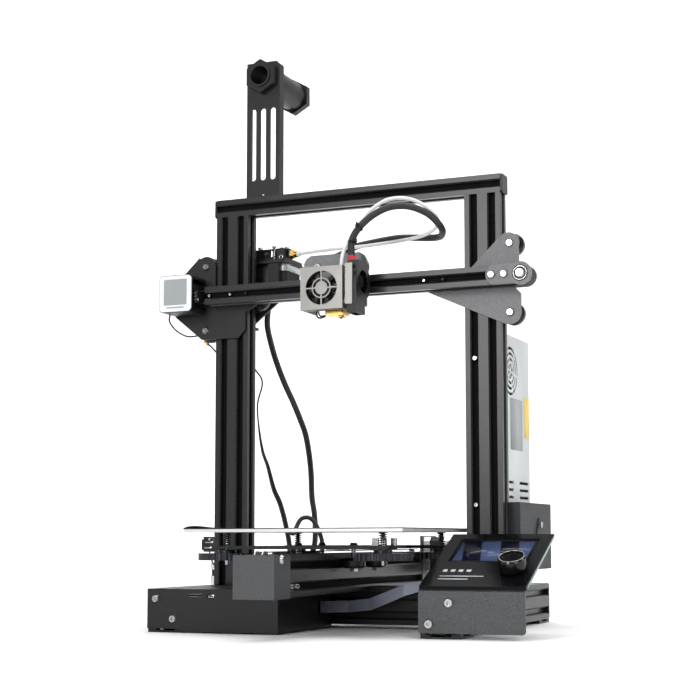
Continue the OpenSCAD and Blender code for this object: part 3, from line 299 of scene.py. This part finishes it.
paint("hotend", "shroud", lambda x, y, z: 344.5 < z < 374.5)
paint("carriage_plate", "zinc", lambda x, y, z: y < -31.02 or y > -27.98)
paint("bed_carriage", "zinc", lambda x, y, z: z < 82.5 or z > 87.45)
paint("left_plate", "brass", lambda x, y, z: near(x, y, -164, 41, 11.2) and z > 327.9
      and not 334.9 < z < 338.05)
paint("fan_shroud", "black_plastic", lambda x, y, z: -70.75 < y < -60.5 and abs(x + 6) < 20.1)
paint("extruder_body", "brass", lambda x, y, z: -98.36 < x < -88.9
      and near(y, z, 49.5, 420, 5.6))
paint("extruder_body", "label", lambda x, y, z: x > -89.3)
paint("extruder_body", "zinc", lambda x, y, z: z > 414 and near(x, y, -133, 41.4, 3))
paint("extruder_lever", "zinc", lambda x, y, z: near(x, y, -118, 43.5, 5.1)
      and 416 < z < 423.2)
paint("psu_case", "board", lambda x, y, z: 130 < x < 155.5 and 24 < y < 132 and 104 < z < 240)
paint("psu_cover", "black_plastic", lambda x, y, z: y > 122.9 and 151 < x < 171 and z < 96)
paint("gantry_motors", "alu", lambda x, y, z: (x < -170 and (y < 7.5 or y > 24)) or
      (x > -145 and (z > 399.5 or z < 378)))
paint("frame_motors", "alu", lambda x, y, z: (x < -100 and (z > 60.5 or z < 52.9)) or
      (x > 0 and (x < 28.4 or x > 45.6)))
paint("gantry_screws", "black_plastic", lambda x, y, z: y < -18
      and (abs(x + 120) < 4 or abs(x - 111) < 4))
SLOT_DEPTH = 1.9 * MM      # walls deeper than this are inside a profile's slot


def paint_slot_shade(node, along, side=0):
    """Paints the walls inside a profile's slots near black: painted shade in the grooves.

    along is the bar's axis, and side picks the bar at negative or positive x, 0 a single bar."""
    mesh = NODES[node].data
    faces = [f for f in mesh.polygons if side == 0 or f.center.x * side > 0]
    across = [a for a in range(3) if a != along]
    low = [min(mesh.vertices[v].co[a] for f in faces for v in f.vertices) for a in across]
    high = [max(mesh.vertices[v].co[a] for f in faces for v in f.vertices) for a in across]
    mesh.materials.append(MAT["dark"])
    index = len(mesh.materials) - 1
    for face in faces:
        depth = min(min(face.center[a] - lo, hi - face.center[a])
                    for a, lo, hi in zip(across, low, high))
        if depth > SLOT_DEPTH and abs(face.normal[along]) < 0.5:
            face.material_index = index


# painted shade inside the slots of the uprights, top bar, tool beam and bed beam
paint_slot_shade("uprights", 2, -1)
paint_slot_shade("uprights", 2, 1)
paint_slot_shade("top_bar", 0)
paint_slot_shade("tool_beam", 0)
paint_slot_shade("bed_beam", 1)

# ---------------------------------------------------------------------------
# Pieces


def piece(name, mesh, finish, body, smooth=True):
    """Object from a mesh with a finish, riding on a CAD body if one is named."""
    obj = bpy.data.objects.new(name, mesh)
    bpy.context.scene.collection.objects.link(obj)
    mesh.materials.append(MAT[finish])
    if smooth:
        for face in mesh.polygons:
            face.use_smooth = True
    if body:
        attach(obj, body)
    return obj


def catmull(points, per_span):
    """Smooth path in metres through points in mm."""
    pts = [Vector(p) * MM for p in points]
    out = []
    for i in range(len(pts) - 1):
        a, b, c, d = (pts[max(i - 1, 0)], pts[i], pts[i + 1], pts[min(i + 2, len(pts) - 1)])
        for k in range(per_span):
            t = k / per_span
            out.append(0.5 * ((2 * b) + (c - a) * t + (2 * a - 5 * b + 4 * c - d) * t * t
                              + (3 * b - a - 3 * c + d) * t * t * t))
    out.append(pts[-1])
    return out


def sweep(path, radius, sides, up=(0, 0, 1)):
    """Tube mesh along a path with coordinates round it and along it in metres."""
    bm = bmesh.new()
    uv = bm.loops.layers.uv.new("UVMap")
    rings = []
    along = [0.0]
    for a, b in zip(path, path[1:]):
        along.append(along[-1] + (b - a).length)
    side = Vector(up)
    radii = radius if isinstance(radius, list) else [radius] * len(path)
    for i, p in enumerate(path):
        t = (path[min(i + 1, len(path) - 1)] - path[max(i - 1, 0)]).normalized()
        side = (side - t * side.dot(t)).normalized()
        other = t.cross(side)
        rings.append([bm.verts.new(p + radii[i] * (math.cos(s * 2 * math.pi / sides) * side
                                                   + math.sin(s * 2 * math.pi / sides) * other))
                      for s in range(sides)])
    for i in range(len(rings) - 1):
        for s in range(sides):
            e = (s + 1) % sides
            face = bm.faces.new((rings[i][s], rings[i][e], rings[i + 1][e], rings[i + 1][s]))
            for loop, (u, v) in zip(face.loops, ((s, i), (s + 1, i), (s + 1, i + 1), (s, i + 1))):
                loop[uv].uv = (u / sides, along[v])
    bm.faces.new(list(reversed(rings[0])))
    bm.faces.new(rings[-1])
    mesh = bpy.data.meshes.new("sweep")
    bm.to_mesh(mesh)
    bm.free()
    return mesh


def rounded_plate(w, h, t, r, steps=6):
    """Plate w by h in the local xz plane, t thick towards +y, with rounded corners."""
    bm = bmesh.new()
    ring = []
    for cx, cz, start in ((w / 2 - r, h / 2 - r, 0), (r - w / 2, h / 2 - r, 90),
                          (r - w / 2, r - h / 2, 180), (w / 2 - r, r - h / 2, 270)):
        for k in range(steps + 1):
            a = math.radians(start + 90 * k / steps)
            ring.append((cx + r * math.cos(a), cz + r * math.sin(a)))
    front = [bm.verts.new((x * MM, 0, z * MM)) for x, z in ring]
    back = [bm.verts.new((x * MM, t * MM, z * MM)) for x, z in ring]
    bm.faces.new(front)
    bm.faces.new(list(reversed(back)))
    n = len(ring)
    for i in range(n):
        bm.faces.new((front[i], back[i], back[(i + 1) % n], front[(i + 1) % n]))
    bmesh.ops.recalc_face_normals(bm, faces=bm.faces)
    mesh = bpy.data.meshes.new("plate")
    bm.to_mesh(mesh)
    bm.free()
    return mesh


TUBE_ROUTE = [[-87.5, 49.5, 420], [-78, 49.5, 420.3], [-60, 48, 421], [-38.9, 45, 421],
              [-8.5, 38, 419.7], [12.4, 31, 418.9], [45.6, 22, 418.9],
              [72.6, 12, 419.6], [90.9, 1, 422.1], [99.3, -5, 427.3],
              [101.1, -10, 434.2], [93.8, -15, 443.3], [79.1, -21, 452.1],
              [63.6, -25, 455.1], [48, -29, 452.2], [32, -32, 441.3], [21.7, -35, 428],
              [13.3, -39, 412.9], [8.3, -44, 399.7], [7.4, -48, 390], [7, -49, 382.4]]
HARNESS_ROUTE = [[22, -54, 386.4], [19.9, -52.5, 400], [20.6, -50, 409.8],
                 [23.9, -47, 418.4], [30.8, -43, 427.8], [40.6, -39, 436.4],
                 [52.8, -34, 443.2], [65, -29.2, 445.6], [80, -27.2, 443.2],
                 [94.7, -20.7, 436.3], [103.8, -14.7, 426.6], [105.1, -4.3, 420.4],
                 [97.3, 10.4, 417.6], [80.5, 22, 419.6], [59.8, 31, 423.2],
                 [39.5, 38, 425.8], [19.6, 43, 425.7], [3, 47, 424.9],
                 [-16.5, 50, 422.9], [-32, 54, 418], [-50, 61, 414], [-66, 68, 410],
                 [-84, 76, 402], [-94, 82, 390], [-96, 84, 360]]
RIGHT_CABLE_ROUTE = [[-132, 60, 368.4], [-132, 60, 361], [-135, 64, 342], [-133, 68, 324],
                     [-128, 72, 302], [-120, 78, 276], [-112, 86, 253], [-106, 94, 232],
                     [-103, 102, 215], [-103, 112, 192], [-106, 124, 170], [-113, 142, 144],
                     [-117, 158, 124], [-122, 172, 102], [-128, 180, 82], [-136, 174, 62],
                     [-136, 150, 54], [-130, 110, 50], [-120, 70, 50], [-112, 40, 50],
                     [-106, 10, 50], [-104, -10, 51], [-104, -24, 51], [-104, -31, 49],
                     [-104, -32, 44.8]]
LEFT_CABLE_ROUTE = [[-196, 34.8, 358], [-195, 48, 354], [-189, 68, 336], [-174, 78, 312],
                    [-158, 80, 292], [-150, 82, 277], [-158, 86, 252], [-158, 90, 224],
                    [-155, 94, 197], [-150, 98, 179], [-148, 110, 153], [-146, 124, 135],
                    [-146, 140, 109], [-146, 150, 84], [-143, 142, 64], [-136, 110, 60],
                    [-130, 70, 59], [-124, 40, 58], [-118, 12, 58], [-114, -10, 58],
                    [-114, -28, 55], [-114, -36, 50], [-114, -37, 44.8]]
BED_CABLE_ROUTE = [[-108, 76.2, 100.5], [-109, 84, 101], [-110, 92, 108], [-107, 98, 117],
                   [-100, 101, 119], [-94, 104, 115], [-88, 106, 104], [-84, 107, 88],
                   [-84, 96, 68], [-86, 60, 57], [-90, 20, 56], [-92, -4, 56], [-92, -26, 55],
                   [-92, -36, 51], [-92, -37, 44.6]]

# Filament tube and harness sleeve, swept along their routes in place of the CAD ones
tube = piece("filament_guide_tube", sweep(catmull(TUBE_ROUTE, 10), 2.0 * MM, 20),
             "white_tube", None)
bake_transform(tube)
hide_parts("filament_tube")
sleeve = piece("harness_sleeve", sweep(catmull(HARNESS_ROUTE, 12), 3.75 * MM, 24, (0, 1, 0)),
               "braid", None)
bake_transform(sleeve)
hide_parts("tool_harness")


def joined(name, meshes, finish, body):
    """One piece from several meshes."""
    bm = bmesh.new()
    for mesh in meshes:
        bm.from_mesh(mesh)
        bpy.data.meshes.remove(mesh)
    mesh = bpy.data.meshes.new(name)
    bm.to_mesh(mesh)
    bm.free()
    return piece(name, mesh, finish, body)


def left_cable_radius(p):
    """Radius in mm of the thin cable: a fine wire above, a flat bundle's width further down."""
    if p.y <= 0.045 and p.z >= 0.3:
        return 0.9
    return 1.0 + 2.1 * min(1.0, max(0.0, (0.232 - p.z) / 0.09))


left_path = catmull(LEFT_CABLE_ROUTE, 8)
left_radii = [left_cable_radius(p) * MM for p in left_path]
side = joined("side_cable_runs", [sweep(catmull(RIGHT_CABLE_ROUTE, 8), 3.4 * MM, 16, (0, 1, 0)),
                                  sweep(left_path, left_radii, 14, (0, 1, 0))], "wire", None)
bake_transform(side)
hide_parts("side_cables")
arch = piece("bed_cable_arch", sweep(catmull(BED_CABLE_ROUTE, 8), 2.6 * MM, 16, (1, 0, 0)),
             "wire", None)
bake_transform(arch)
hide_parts("bed_cable")


def cylinder_mesh(radius, length, sides=32, inner=0.0, bevel=0.0):
    """Round bar or ring about the local z axis from z = 0, with a small edge bevel, in mm."""
    outline = [(max(inner, 0.0), 0.0), (radius - bevel, 0.0), (radius, bevel),
               (radius, length - bevel), (radius - bevel, length), (max(inner, 0.0), length)]
    bm = bmesh.new()
    rings = []
    for r, z in outline:
        if r < 1e-6:
            rings.append([bm.verts.new((0, 0, z * MM))])
        else:
            rings.append([bm.verts.new((r * math.cos(2 * math.pi * k / sides) * MM,
                                        r * math.sin(2 * math.pi * k / sides) * MM, z * MM))
                          for k in range(sides)])
    pairs = list(zip(rings, rings[1:]))
    if inner > 0:
        pairs.append((rings[-1], rings[0]))
    for low, high in pairs:
        for k in range(sides):
            e = (k + 1) % sides
            corners = (low[k % len(low)], low[e % len(low)], high[e % len(high)],
                       high[k % len(high)])
            unique = list(dict.fromkeys(corners))
            if len(unique) > 2:
                bm.faces.new(unique)
    bmesh.ops.remove_doubles(bm, verts=bm.verts, dist=1e-7)
    bmesh.ops.recalc_face_normals(bm, faces=bm.faces)
    mesh = bpy.data.meshes.new("round")
    bm.to_mesh(mesh)
    bm.free()
    return mesh


def box_mesh(x0, y0, z0, x1, y1, z1, bevel=0.3):
    """Box between two corners in mm, its edges bevelled."""
    bm = bmesh.new()
    bmesh.ops.create_cube(bm, size=1)
    for v in bm.verts:
        v.co = Vector(((x0 + x1) / 2 + v.co.x * (x1 - x0), (y0 + y1) / 2 + v.co.y * (y1 - y0),
                       (z0 + z1) / 2 + v.co.z * (z1 - z0))) * MM
    if bevel:
        bmesh.ops.bevel(bm, geom=bm.edges[:], offset=bevel * MM, segments=2, affect="EDGES",
                        profile=0.5)
    mesh = bpy.data.meshes.new("box")
    bm.to_mesh(mesh)
    bm.free()
    return mesh


def moved(mesh, x, y, z, rx=0.0, ry=0.0):
    """The mesh turned about x, then y, in degrees, and moved by x, y, z in mm."""
    turn = Matrix.Rotation(math.radians(ry), 4, "Y") @ Matrix.Rotation(math.radians(rx), 4, "X")
    mesh.transform(Matrix.Translation(Vector((x, y, z)) * MM) @ turn)
    return mesh


# Levelling springs and their screws
def spring_mesh(x, y):
    """Levelling spring at x, y, its end coils closed and flat."""
    coils, low, high, radius, wire_radius = 6.5, 87.5, 100.9, 3.5, 0.55
    flat_end = 0.08
    steps = int(coils * 20)
    path = []
    for k in range(steps + 1):
        t = k / steps
        a = 2 * math.pi * coils * t
        ease = min(1.0, max(0.0, (t - flat_end) / (1 - 2 * flat_end)))
        z = low + wire_radius + (high - low - 2 * wire_radius) * ease
        path.append(Vector((x + radius * math.cos(a), y + radius * math.sin(a), z)) * MM)
    return sweep(path, wire_radius * MM, 8)


BED_Y = -42.5              # middle of the bed
SCREW_SPREAD = 85          # from the middle to each levelling screw, along x and y
corners = [(sx * SCREW_SPREAD, BED_Y + sy * SCREW_SPREAD) for sx in (-1, 1) for sy in (-1, 1)]
springs = joined("levelling_springs", [spring_mesh(x, y) for x, y in corners], "spring", "bed")
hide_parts("bed_springs")
joined("levelling_screws", [moved(cylinder_mesh(2.0, 33, 24, bevel=0.4), x, y, 68)
                            for x, y in corners], "zinc", "bed")
joined("spring_seats", [moved(cylinder_mesh(4.6, 1.0, 32, 2.2, 0.2), x, y, 99.9)
                        for x, y in corners], "spring", "bed")

def curled_corner():
    """Front left corner of the sheet, lifted a little from the plate."""
    left, front, bottom, thick = -117.6, -160.2, 104.2, 0.9
    width, depth, highest = 44, 34, 2.4
    bm = bmesh.new()
    nx, ny = 20, 10
    layers = []
    for top in (0.0, thick):
        grid = []
        for i in range(nx + 1):
            x = left + width * i / nx
            lift_x = math.sin(math.pi * min(1.0, (i / nx) ** 0.55)) ** 1.5
            row = []
            for j in range(ny + 1):
                y = front + depth * j / ny
                lift = highest * lift_x * (1 - j / ny) ** 2
                row.append(bm.verts.new((x * MM, y * MM, (bottom + lift + top) * MM)))
            grid.append(row)
        layers.append(grid)
    low, high = layers
    for i in range(nx):
        for j in range(ny):
            bm.faces.new((high[i][j], high[i + 1][j], high[i + 1][j + 1], high[i][j + 1]))
            bm.faces.new((low[i][j], low[i][j + 1], low[i + 1][j + 1], low[i + 1][j]))
    for i in range(nx):
        bm.faces.new((low[i][0], low[i + 1][0], high[i + 1][0], high[i][0]))
        bm.faces.new((low[i + 1][ny], low[i][ny], high[i][ny], high[i + 1][ny]))
    for j in range(ny):
        bm.faces.new((low[0][j + 1], low[0][j], high[0][j], high[0][j + 1]))
        bm.faces.new((low[nx][j], low[nx][j + 1], high[nx][j + 1], high[nx][j]))
    bmesh.ops.recalc_face_normals(bm, faces=bm.faces)
    mesh = bpy.data.meshes.new("curl")
    bm.to_mesh(mesh)
    bm.free()
    return mesh


piece("sheet_curl", curled_corner(), "sheet", "bed")

# Drive box: label, limit switch, wires
BOX_X = -200.3             # middle of the drive box's front
LABEL_Y = -36.55           # front of the drive box, where the label sits
MARK_Y = LABEL_Y - 0.11    # the marks on the label
piece("box_label", moved(rounded_plate(40.6, 40.6, 0.5, 4.6, 8), BOX_X, LABEL_Y, 367.6),
      "label", "gantry", False)
piece("box_label_field", moved(rounded_plate(29, 29, 0.1, 1.5, 6), BOX_X, MARK_Y, 369.2),
      "label_grey", "gantry", False)
joined("box_label_lines", [moved(rounded_plate(22, 1.1, 0.1, 0.4), BOX_X, MARK_Y, 351.9)],
       "label_grey", "gantry")
joined("limit_switch_body", [box_mesh(-181.5, -30, 357, -176.2, -11, 371, 0.4),
                             box_mesh(-183, -33, 352, -181.6, -8, 379, 0.2)],
       "black_plastic", "gantry")
joined("limit_switch_lever", [box_mesh(-176, -27, 358, -175.6, -14, 359.6, 0.1),
                              moved(cylinder_mesh(1.2, 1.6, 16), -176.1, -27.4, 360.4, 90)],
       "zinc", "gantry")
joined("limit_switch_pins", [box_mesh(-177.5, -33.3, z, -176.9, -30, z + 1.2, 0.1)
                             for z in (359, 363, 367)], "zinc", "gantry")


def wire(name, route, radius, finish, body, per_span=8, sides=10):
    """Thin wire or sleeve through the points of the route, in mm."""
    mesh = sweep(catmull(route, per_span), radius * MM, sides, (0.3, 1, 0.2))
    return piece(name, mesh, finish, body)


wire("switch_wire_outer", [[-216, -20, 347], [-220, -14, 340], [-217, -4, 331], [-208, 4, 325],
                           [-196, 6, 325], [-188, 4.5, 328]], 0.95, "wire", "gantry")
wire("plug_wire", [[-186, 13, 316], [-181, 12, 313], [-175, 12, 307], [-171, 16, 303],
                   [-164, 22, 300], [-155, 27, 299], [-148, 34, 303], [-145, 42, 316],
                   [-146, 52, 330]], 1.0, "wire", "gantry")
joined("plug_tip", [moved(cylinder_mesh(1.7, 5.5, 20, bevel=0.4), -190, 14, 319.4, 0, 127),
                    moved(cylinder_mesh(2.1, 2.0, 20, bevel=0.3), -186.6, 13.4, 316.8, 0, 127)],
       "brass", "gantry")

joined("extruder_motor_guard", [box_mesh(-139, 33.4, 369.5, -118.2, 34.9, 406.5, 0.3)],
       "black_plastic", "gantry")

# Tool carriage: red sleeves, leads, zip ties
wire("red_sleeve_front", [[21.5, -57, 379.5], [21.8, -56, 384], [22, -54.5, 389.5]], 4.5, "red",
     "tool_carriage", 8, 20)
wire("lead_a", [[21.5, -57, 381], [20.5, -62, 377], [19.2, -66, 368], [18.8, -69, 350],
                [16, -66, 336], [12, -58, 331]], 0.9, "wire", "tool_carriage")
wire("lead_b", [[21.5, -57, 384], [24.5, -58, 385], [27, -58.5, 383], [27.5, -58.5, 380.2]],
     0.7, "red", "tool_carriage")
joined("lead_plug", [box_mesh(16.5, -67.5, 339.5, 21.5, -61.5, 346, 0.7),
                     box_mesh(17.5, -66.5, 346, 20.5, -62.5, 348, 0.5)], "label", "tool_carriage")
wire("heater_lead_a", [[-11, -49, 329], [-17, -49, 327.5], [-22, -46, 330], [-24, -42, 338],
                       [-22, -38, 345]], 1.0, "wire", "tool_carriage")
wire("heater_lead_b", [[-11, -46, 331], [-18, -45, 330], [-22, -42, 334], [-23, -39, 342]],
     0.9, "wire", "tool_carriage")


def zip_tie(name, at, along, radius, body, tail):
    """Strap round a cord of that radius at a point, with its lock and a cut tail."""
    axis = Vector(along).normalized()
    turn = axis.to_track_quat("Z", "Y").to_matrix().to_4x4()
    ring = cylinder_mesh(radius + 0.9, 2.4, 32, radius + 0.05, 0.2)
    head = box_mesh(radius - 0.2, -1.8, -0.6, radius + 3.2, 1.8, 3.0, 0.3)
    strap = box_mesh(radius + 1.0, -0.4, 0.3, radius + 1.0 + tail, 0.4, 2.3, 0.15)
    meshes = [ring, head, strap]
    for mesh in meshes:
        mesh.transform(Matrix.Translation(Vector(at) * MM) @ turn
                       @ Matrix.Rotation(math.radians(150), 4, "Z"))
    return joined(name, meshes, "black_plastic", body)


zip_tie("zip_tie_low", (20.7, -51.4, 405), (0.02, 0.22, 1), 3.9, "tool_carriage", 2.5)
zip_tie("zip_tie_high", (25.5, -46, 421.3), (0.55, 0.32, 0.78), 3.9, "tool_carriage", 6)

# Right belt turn: ring, and a dark disc of painted shade for the gap in the idler plate
IDLER = (196.5, -27.0, 365)    # front of the idler plate on the turning axis
joined("idler_gap_shade", [moved(cylinder_mesh(8.3, 0.25, 48, 5.7), *IDLER, 90)], "dark", "gantry")
joined("idler_ring", [moved(cylinder_mesh(7.6, 0.9, 48, 6.2, 0.2), *IDLER, 90)], "zinc",
       "gantry")

# Display: screen, window frame, marking, clear edge
PANEL_TILT = 25.66
PANEL = (Matrix.Translation(Vector((128.5, -145, 48)) * MM)
         @ Matrix.Rotation(math.radians(PANEL_TILT), 4, "X"))


def on_panel(mesh):
    """Carries a mesh from the panel's own plane, its lower left corner at 0, to its place."""
    mesh.transform(PANEL)
    return mesh


joined("display_screen", [on_panel(box_mesh(16, 55, 0.62, 90, 98, 0.9, 0))], "screen", "frame")
joined("display_window", [on_panel(box_mesh(13.2, 51.2, 0.62, 92.8, 55, 1.2, 0)),
                          on_panel(box_mesh(13.2, 98, 0.62, 92.8, 101.8, 1.2, 0)),
                          on_panel(box_mesh(13.2, 55, 0.62, 16, 98, 1.2, 0)),
                          on_panel(box_mesh(90, 55, 0.62, 92.8, 98, 1.2, 0))], "dark", "frame")
joined("panel_clear_edge", [on_panel(box_mesh(105.02, 4, -1.5, 105.35, 112, 0.9, 0.1))],
       "clear_edge", "frame")


def flat_bar(u, v, w, h):
    """Thin printed bar on the panel's glass, its lower left corner at u, v."""
    low_z, high_z = 1.92, 2.0
    bm = bmesh.new()
    pts = [(u, v), (u + w, v), (u + w, v + h), (u, v + h)]
    low = [bm.verts.new((a * MM, b * MM, low_z * MM)) for a, b in pts]
    high = [bm.verts.new((a * MM, b * MM, high_z * MM)) for a, b in pts]
    bm.faces.new(high)
    bm.faces.new(list(reversed(low)))
    for i in range(4):
        bm.faces.new((low[i], low[(i + 1) % 4], high[(i + 1) % 4], high[i]))
    mesh = bpy.data.meshes.new("bar")
    bm.to_mesh(mesh)
    bm.free()
    return on_panel(mesh)


joined("panel_marking_bars", [flat_bar(14, 20, 44, 1.6), flat_bar(14, 14, 30, 1.6)]
       + [flat_bar(14 + 8 * k, 30, 4.5, 4.5) for k in range(4)], "print_light", "frame")
joined("knob_rim", [on_panel(moved(cylinder_mesh(12.4, 0.35, 64, 11.5, 0.1), 84, 34, 16.35))],
       "zinc", "encoder_knob")

# Electronics box: card and cable sockets
# painted shade: a near-black box filling the card slot's opening
joined("card_socket", [box_mesh(-118.4, -142.6, 36.9, -105.6, -136, 38.7, 0.1)], "dark", "frame")
joined("card_socket_rim", [box_mesh(-119, -143.12, 36.4, -105, -143.0, 36.9, 0),
                           box_mesh(-119, -143.12, 38.7, -105, -143.0, 39.2, 0)],
       "label_grey", "frame")
joined("usb_socket", [box_mesh(-98.4, -142.4, 35.5, -91.6, -137, 38.5, 0.2)], "zinc", "frame")
joined("usb_tongue", [box_mesh(-97.4, -142.6, 36.4, -92.6, -142.3, 37.5, 0.1)], "dark", "frame")

# Power supply label
joined("supply_label", [box_mesh(158.0, 115, 205, 158.25, 134, 250, 0)], "label_amber", "frame")
joined("supply_label_plain", [box_mesh(158.0, 62, 190, 158.2, 108, 246, 0)], "label_grey", "frame")
joined("cover_screw", [moved(cylinder_mesh(3.4, 2.0, 24, 1.4, 0.6), 181.6, 93, 109, 0, 90)],
       "zinc", "frame")

# Lift limit switch beside the left upright
joined("lift_switch", [box_mesh(-183, 2, 80, -168.4, 9, 97, 0.5),
                       box_mesh(-186, 3.5, 82, -183, 8, 94, 0.4)], "black_plastic", "frame")
joined("lift_switch_parts", [box_mesh(-181, 1.2, 84, -172, 2.0, 85.5, 0.1),
                             box_mesh(-180, 1.0, 90, -170, 1.9, 91.4, 0.1),
                             moved(cylinder_mesh(1.5, 1.0, 20, bevel=0.2), -175, 2, 94, 90)],
       "zinc", "frame")
wire("lift_switch_wire", [[-178, 8, 80], [-180, 14, 74], [-178, 18, 66], [-170, 19, 60],
                          [-160, 23, 58]], 0.8, "wire", "frame")

# Extruder details
joined("extruder_screws", [moved(cylinder_mesh(2.7, 2.6, 24, 1.2, 0.4), x, y, z)
                           for x, y, z in ((-135, 62, 426), (-120, 72, 424.9),
                                           (-103.5, 49.6, 426.2))], "zinc", "gantry")
SPRING_X, SPRING_Y = -112.5, 35.2


def lever_coil(coil_radius=1.7, step=0.45, rise=0.165, low=412, points=85):
    """Middle line of the small spring on the lever's screw."""
    return [Vector((SPRING_X + coil_radius * math.cos(k * step),
                    SPRING_Y + coil_radius * math.sin(k * step), low + rise * k)) * MM
            for k in range(points)]


joined("lever_spring", [sweep(lever_coil(), 0.42 * MM, 8),
                        moved(cylinder_mesh(1.0, 19, 16, bevel=0.2), SPRING_X, SPRING_Y, 409),
                        moved(cylinder_mesh(2.4, 2.0, 24, 1.0, 0.3), SPRING_X, SPRING_Y, 426)],
       "zinc", "extruder_arm")
joined("lever_ring", [moved(cylinder_mesh(2.7, 1.2, 28, 1.5, 0.3), -102.5, 32.75, 414, 90)],
       "zinc", "extruder_arm")

# ---------------------------------------------------------------------------
# Stage, light and camera


FLOOR_FRONT = -4.0         # the floor's front edge, in metres
CURVE_START = 3.2          # where the floor begins to curve up
CURVE_RADIUS = 2.0
BACKDROP_TOP = 6.0
HALF_WIDTH = 7.0


def stage_floor():
    """Pale floor that curves up into a backdrop."""
    steps = 12
    outline = [(FLOOR_FRONT, 0.0), (CURVE_START, 0.0)]
    for k in range(1, steps + 1):
        a = math.radians(90 * k / steps)
        outline.append((CURVE_START + CURVE_RADIUS * math.sin(a),
                        CURVE_RADIUS - CURVE_RADIUS * math.cos(a)))
    outline.append((CURVE_START + CURVE_RADIUS, BACKDROP_TOP))
    bm = bmesh.new()
    rows = [[bm.verts.new((x, y, z)) for y, z in outline] for x in (-HALF_WIDTH, HALF_WIDTH)]
    for i in range(len(outline) - 1):
        bm.faces.new((rows[0][i], rows[1][i], rows[1][i + 1], rows[0][i + 1]))
    mesh = bpy.data.meshes.new("stage_floor")
    bm.to_mesh(mesh)
    bm.free()
    obj = piece("stage_floor", mesh, "paper", None)


stage_floor()


def area_light(name, where, target, size, power, size_y=None):
    """Rectangular light of size metres and power watts, pointed from where to target."""
    data = bpy.data.lights.new(name, "AREA")
    data.energy = power
    data.shape = "RECTANGLE"
    data.size = size
    data.size_y = size_y or size
    obj = bpy.data.objects.new(name, data)
    obj.location = where
    obj.rotation_euler = (Vector(target) - Vector(where)).to_track_quat("-Z", "Y").to_euler()
    bpy.context.scene.collection.objects.link(obj)


area_light("key_front_right", (2.0, -2.4, 1.7), (0, 0, 0.25), 1.4, 34)
area_light("front_soft", (-0.50, -2.5, 0.85), (0.15, 0, 0.3), 0.80, 27, 1.1)
area_light("fill_front_left", (-2.6, -1.8, 1.3), (0, 0, 0.25), 1.2, 8)
area_light("side_right", (2.6, 0.6, 1.0), (0, 0, 0.3), 1.0, 24, 1.6)
area_light("top_soft", (0, 0.3, 2.6), (0, 0, 0.2), 2.4, 66)
area_light("back_wash", (0, 2.2, 2.4), (0, 4.8, 0.9), 3.5, 80)
area_light("back_wash_left", (-3.0, 1.8, 2.6), (-4.0, 5.0, 1.2), 3.0, 125)


def studio_world(strength):
    """Soft surroundings, brighter overhead than at the floor."""
    world = bpy.data.worlds.new("studio")
    bpy.context.scene.world = world
    world.use_nodes = True
    tree = world.node_tree
    background = next(n for n in tree.nodes if n.type == "BACKGROUND")
    where = add(tree, "ShaderNodeTexCoord")
    split = add(tree, "ShaderNodeSeparateXYZ")
    tree.links.new(where.outputs["Generated"], split.inputs["Vector"])
    height = spread(tree, split.outputs["Z"], 0.0, 1.0)
    height.node.inputs["From Min"].default_value = -0.25
    sky = ramp(tree, height, (0.55, 0.55, 0.56), (1.0, 1.0, 1.0), 0.25, 0.85)
    tree.links.new(sky, background.inputs["Color"])
    background.inputs["Strength"].default_value = strength


studio_world(0.33)

# The camera was fitted to the edges of the profiles in the photo
CAMERA_PLACE = (0.6138, -1.4620, 0.0940)
CAMERA_TURN = (95.49, 0.12, 22.07)
camera_data = bpy.data.cameras.new("camera")
camera_data.sensor_width = 36
camera_data.lens = 75.68
camera_data.shift_x = -0.0306
camera_data.shift_y = 0.0679
camera_data.clip_start = 0.05
camera_data.clip_end = 50
camera = bpy.data.objects.new("camera", camera_data)
camera.location = CAMERA_PLACE
camera.rotation_euler = tuple(math.radians(a) for a in CAMERA_TURN)
bpy.context.scene.collection.objects.link(camera)
bpy.context.scene.camera = camera
bpy.context.scene.view_settings.view_transform = "Standard"
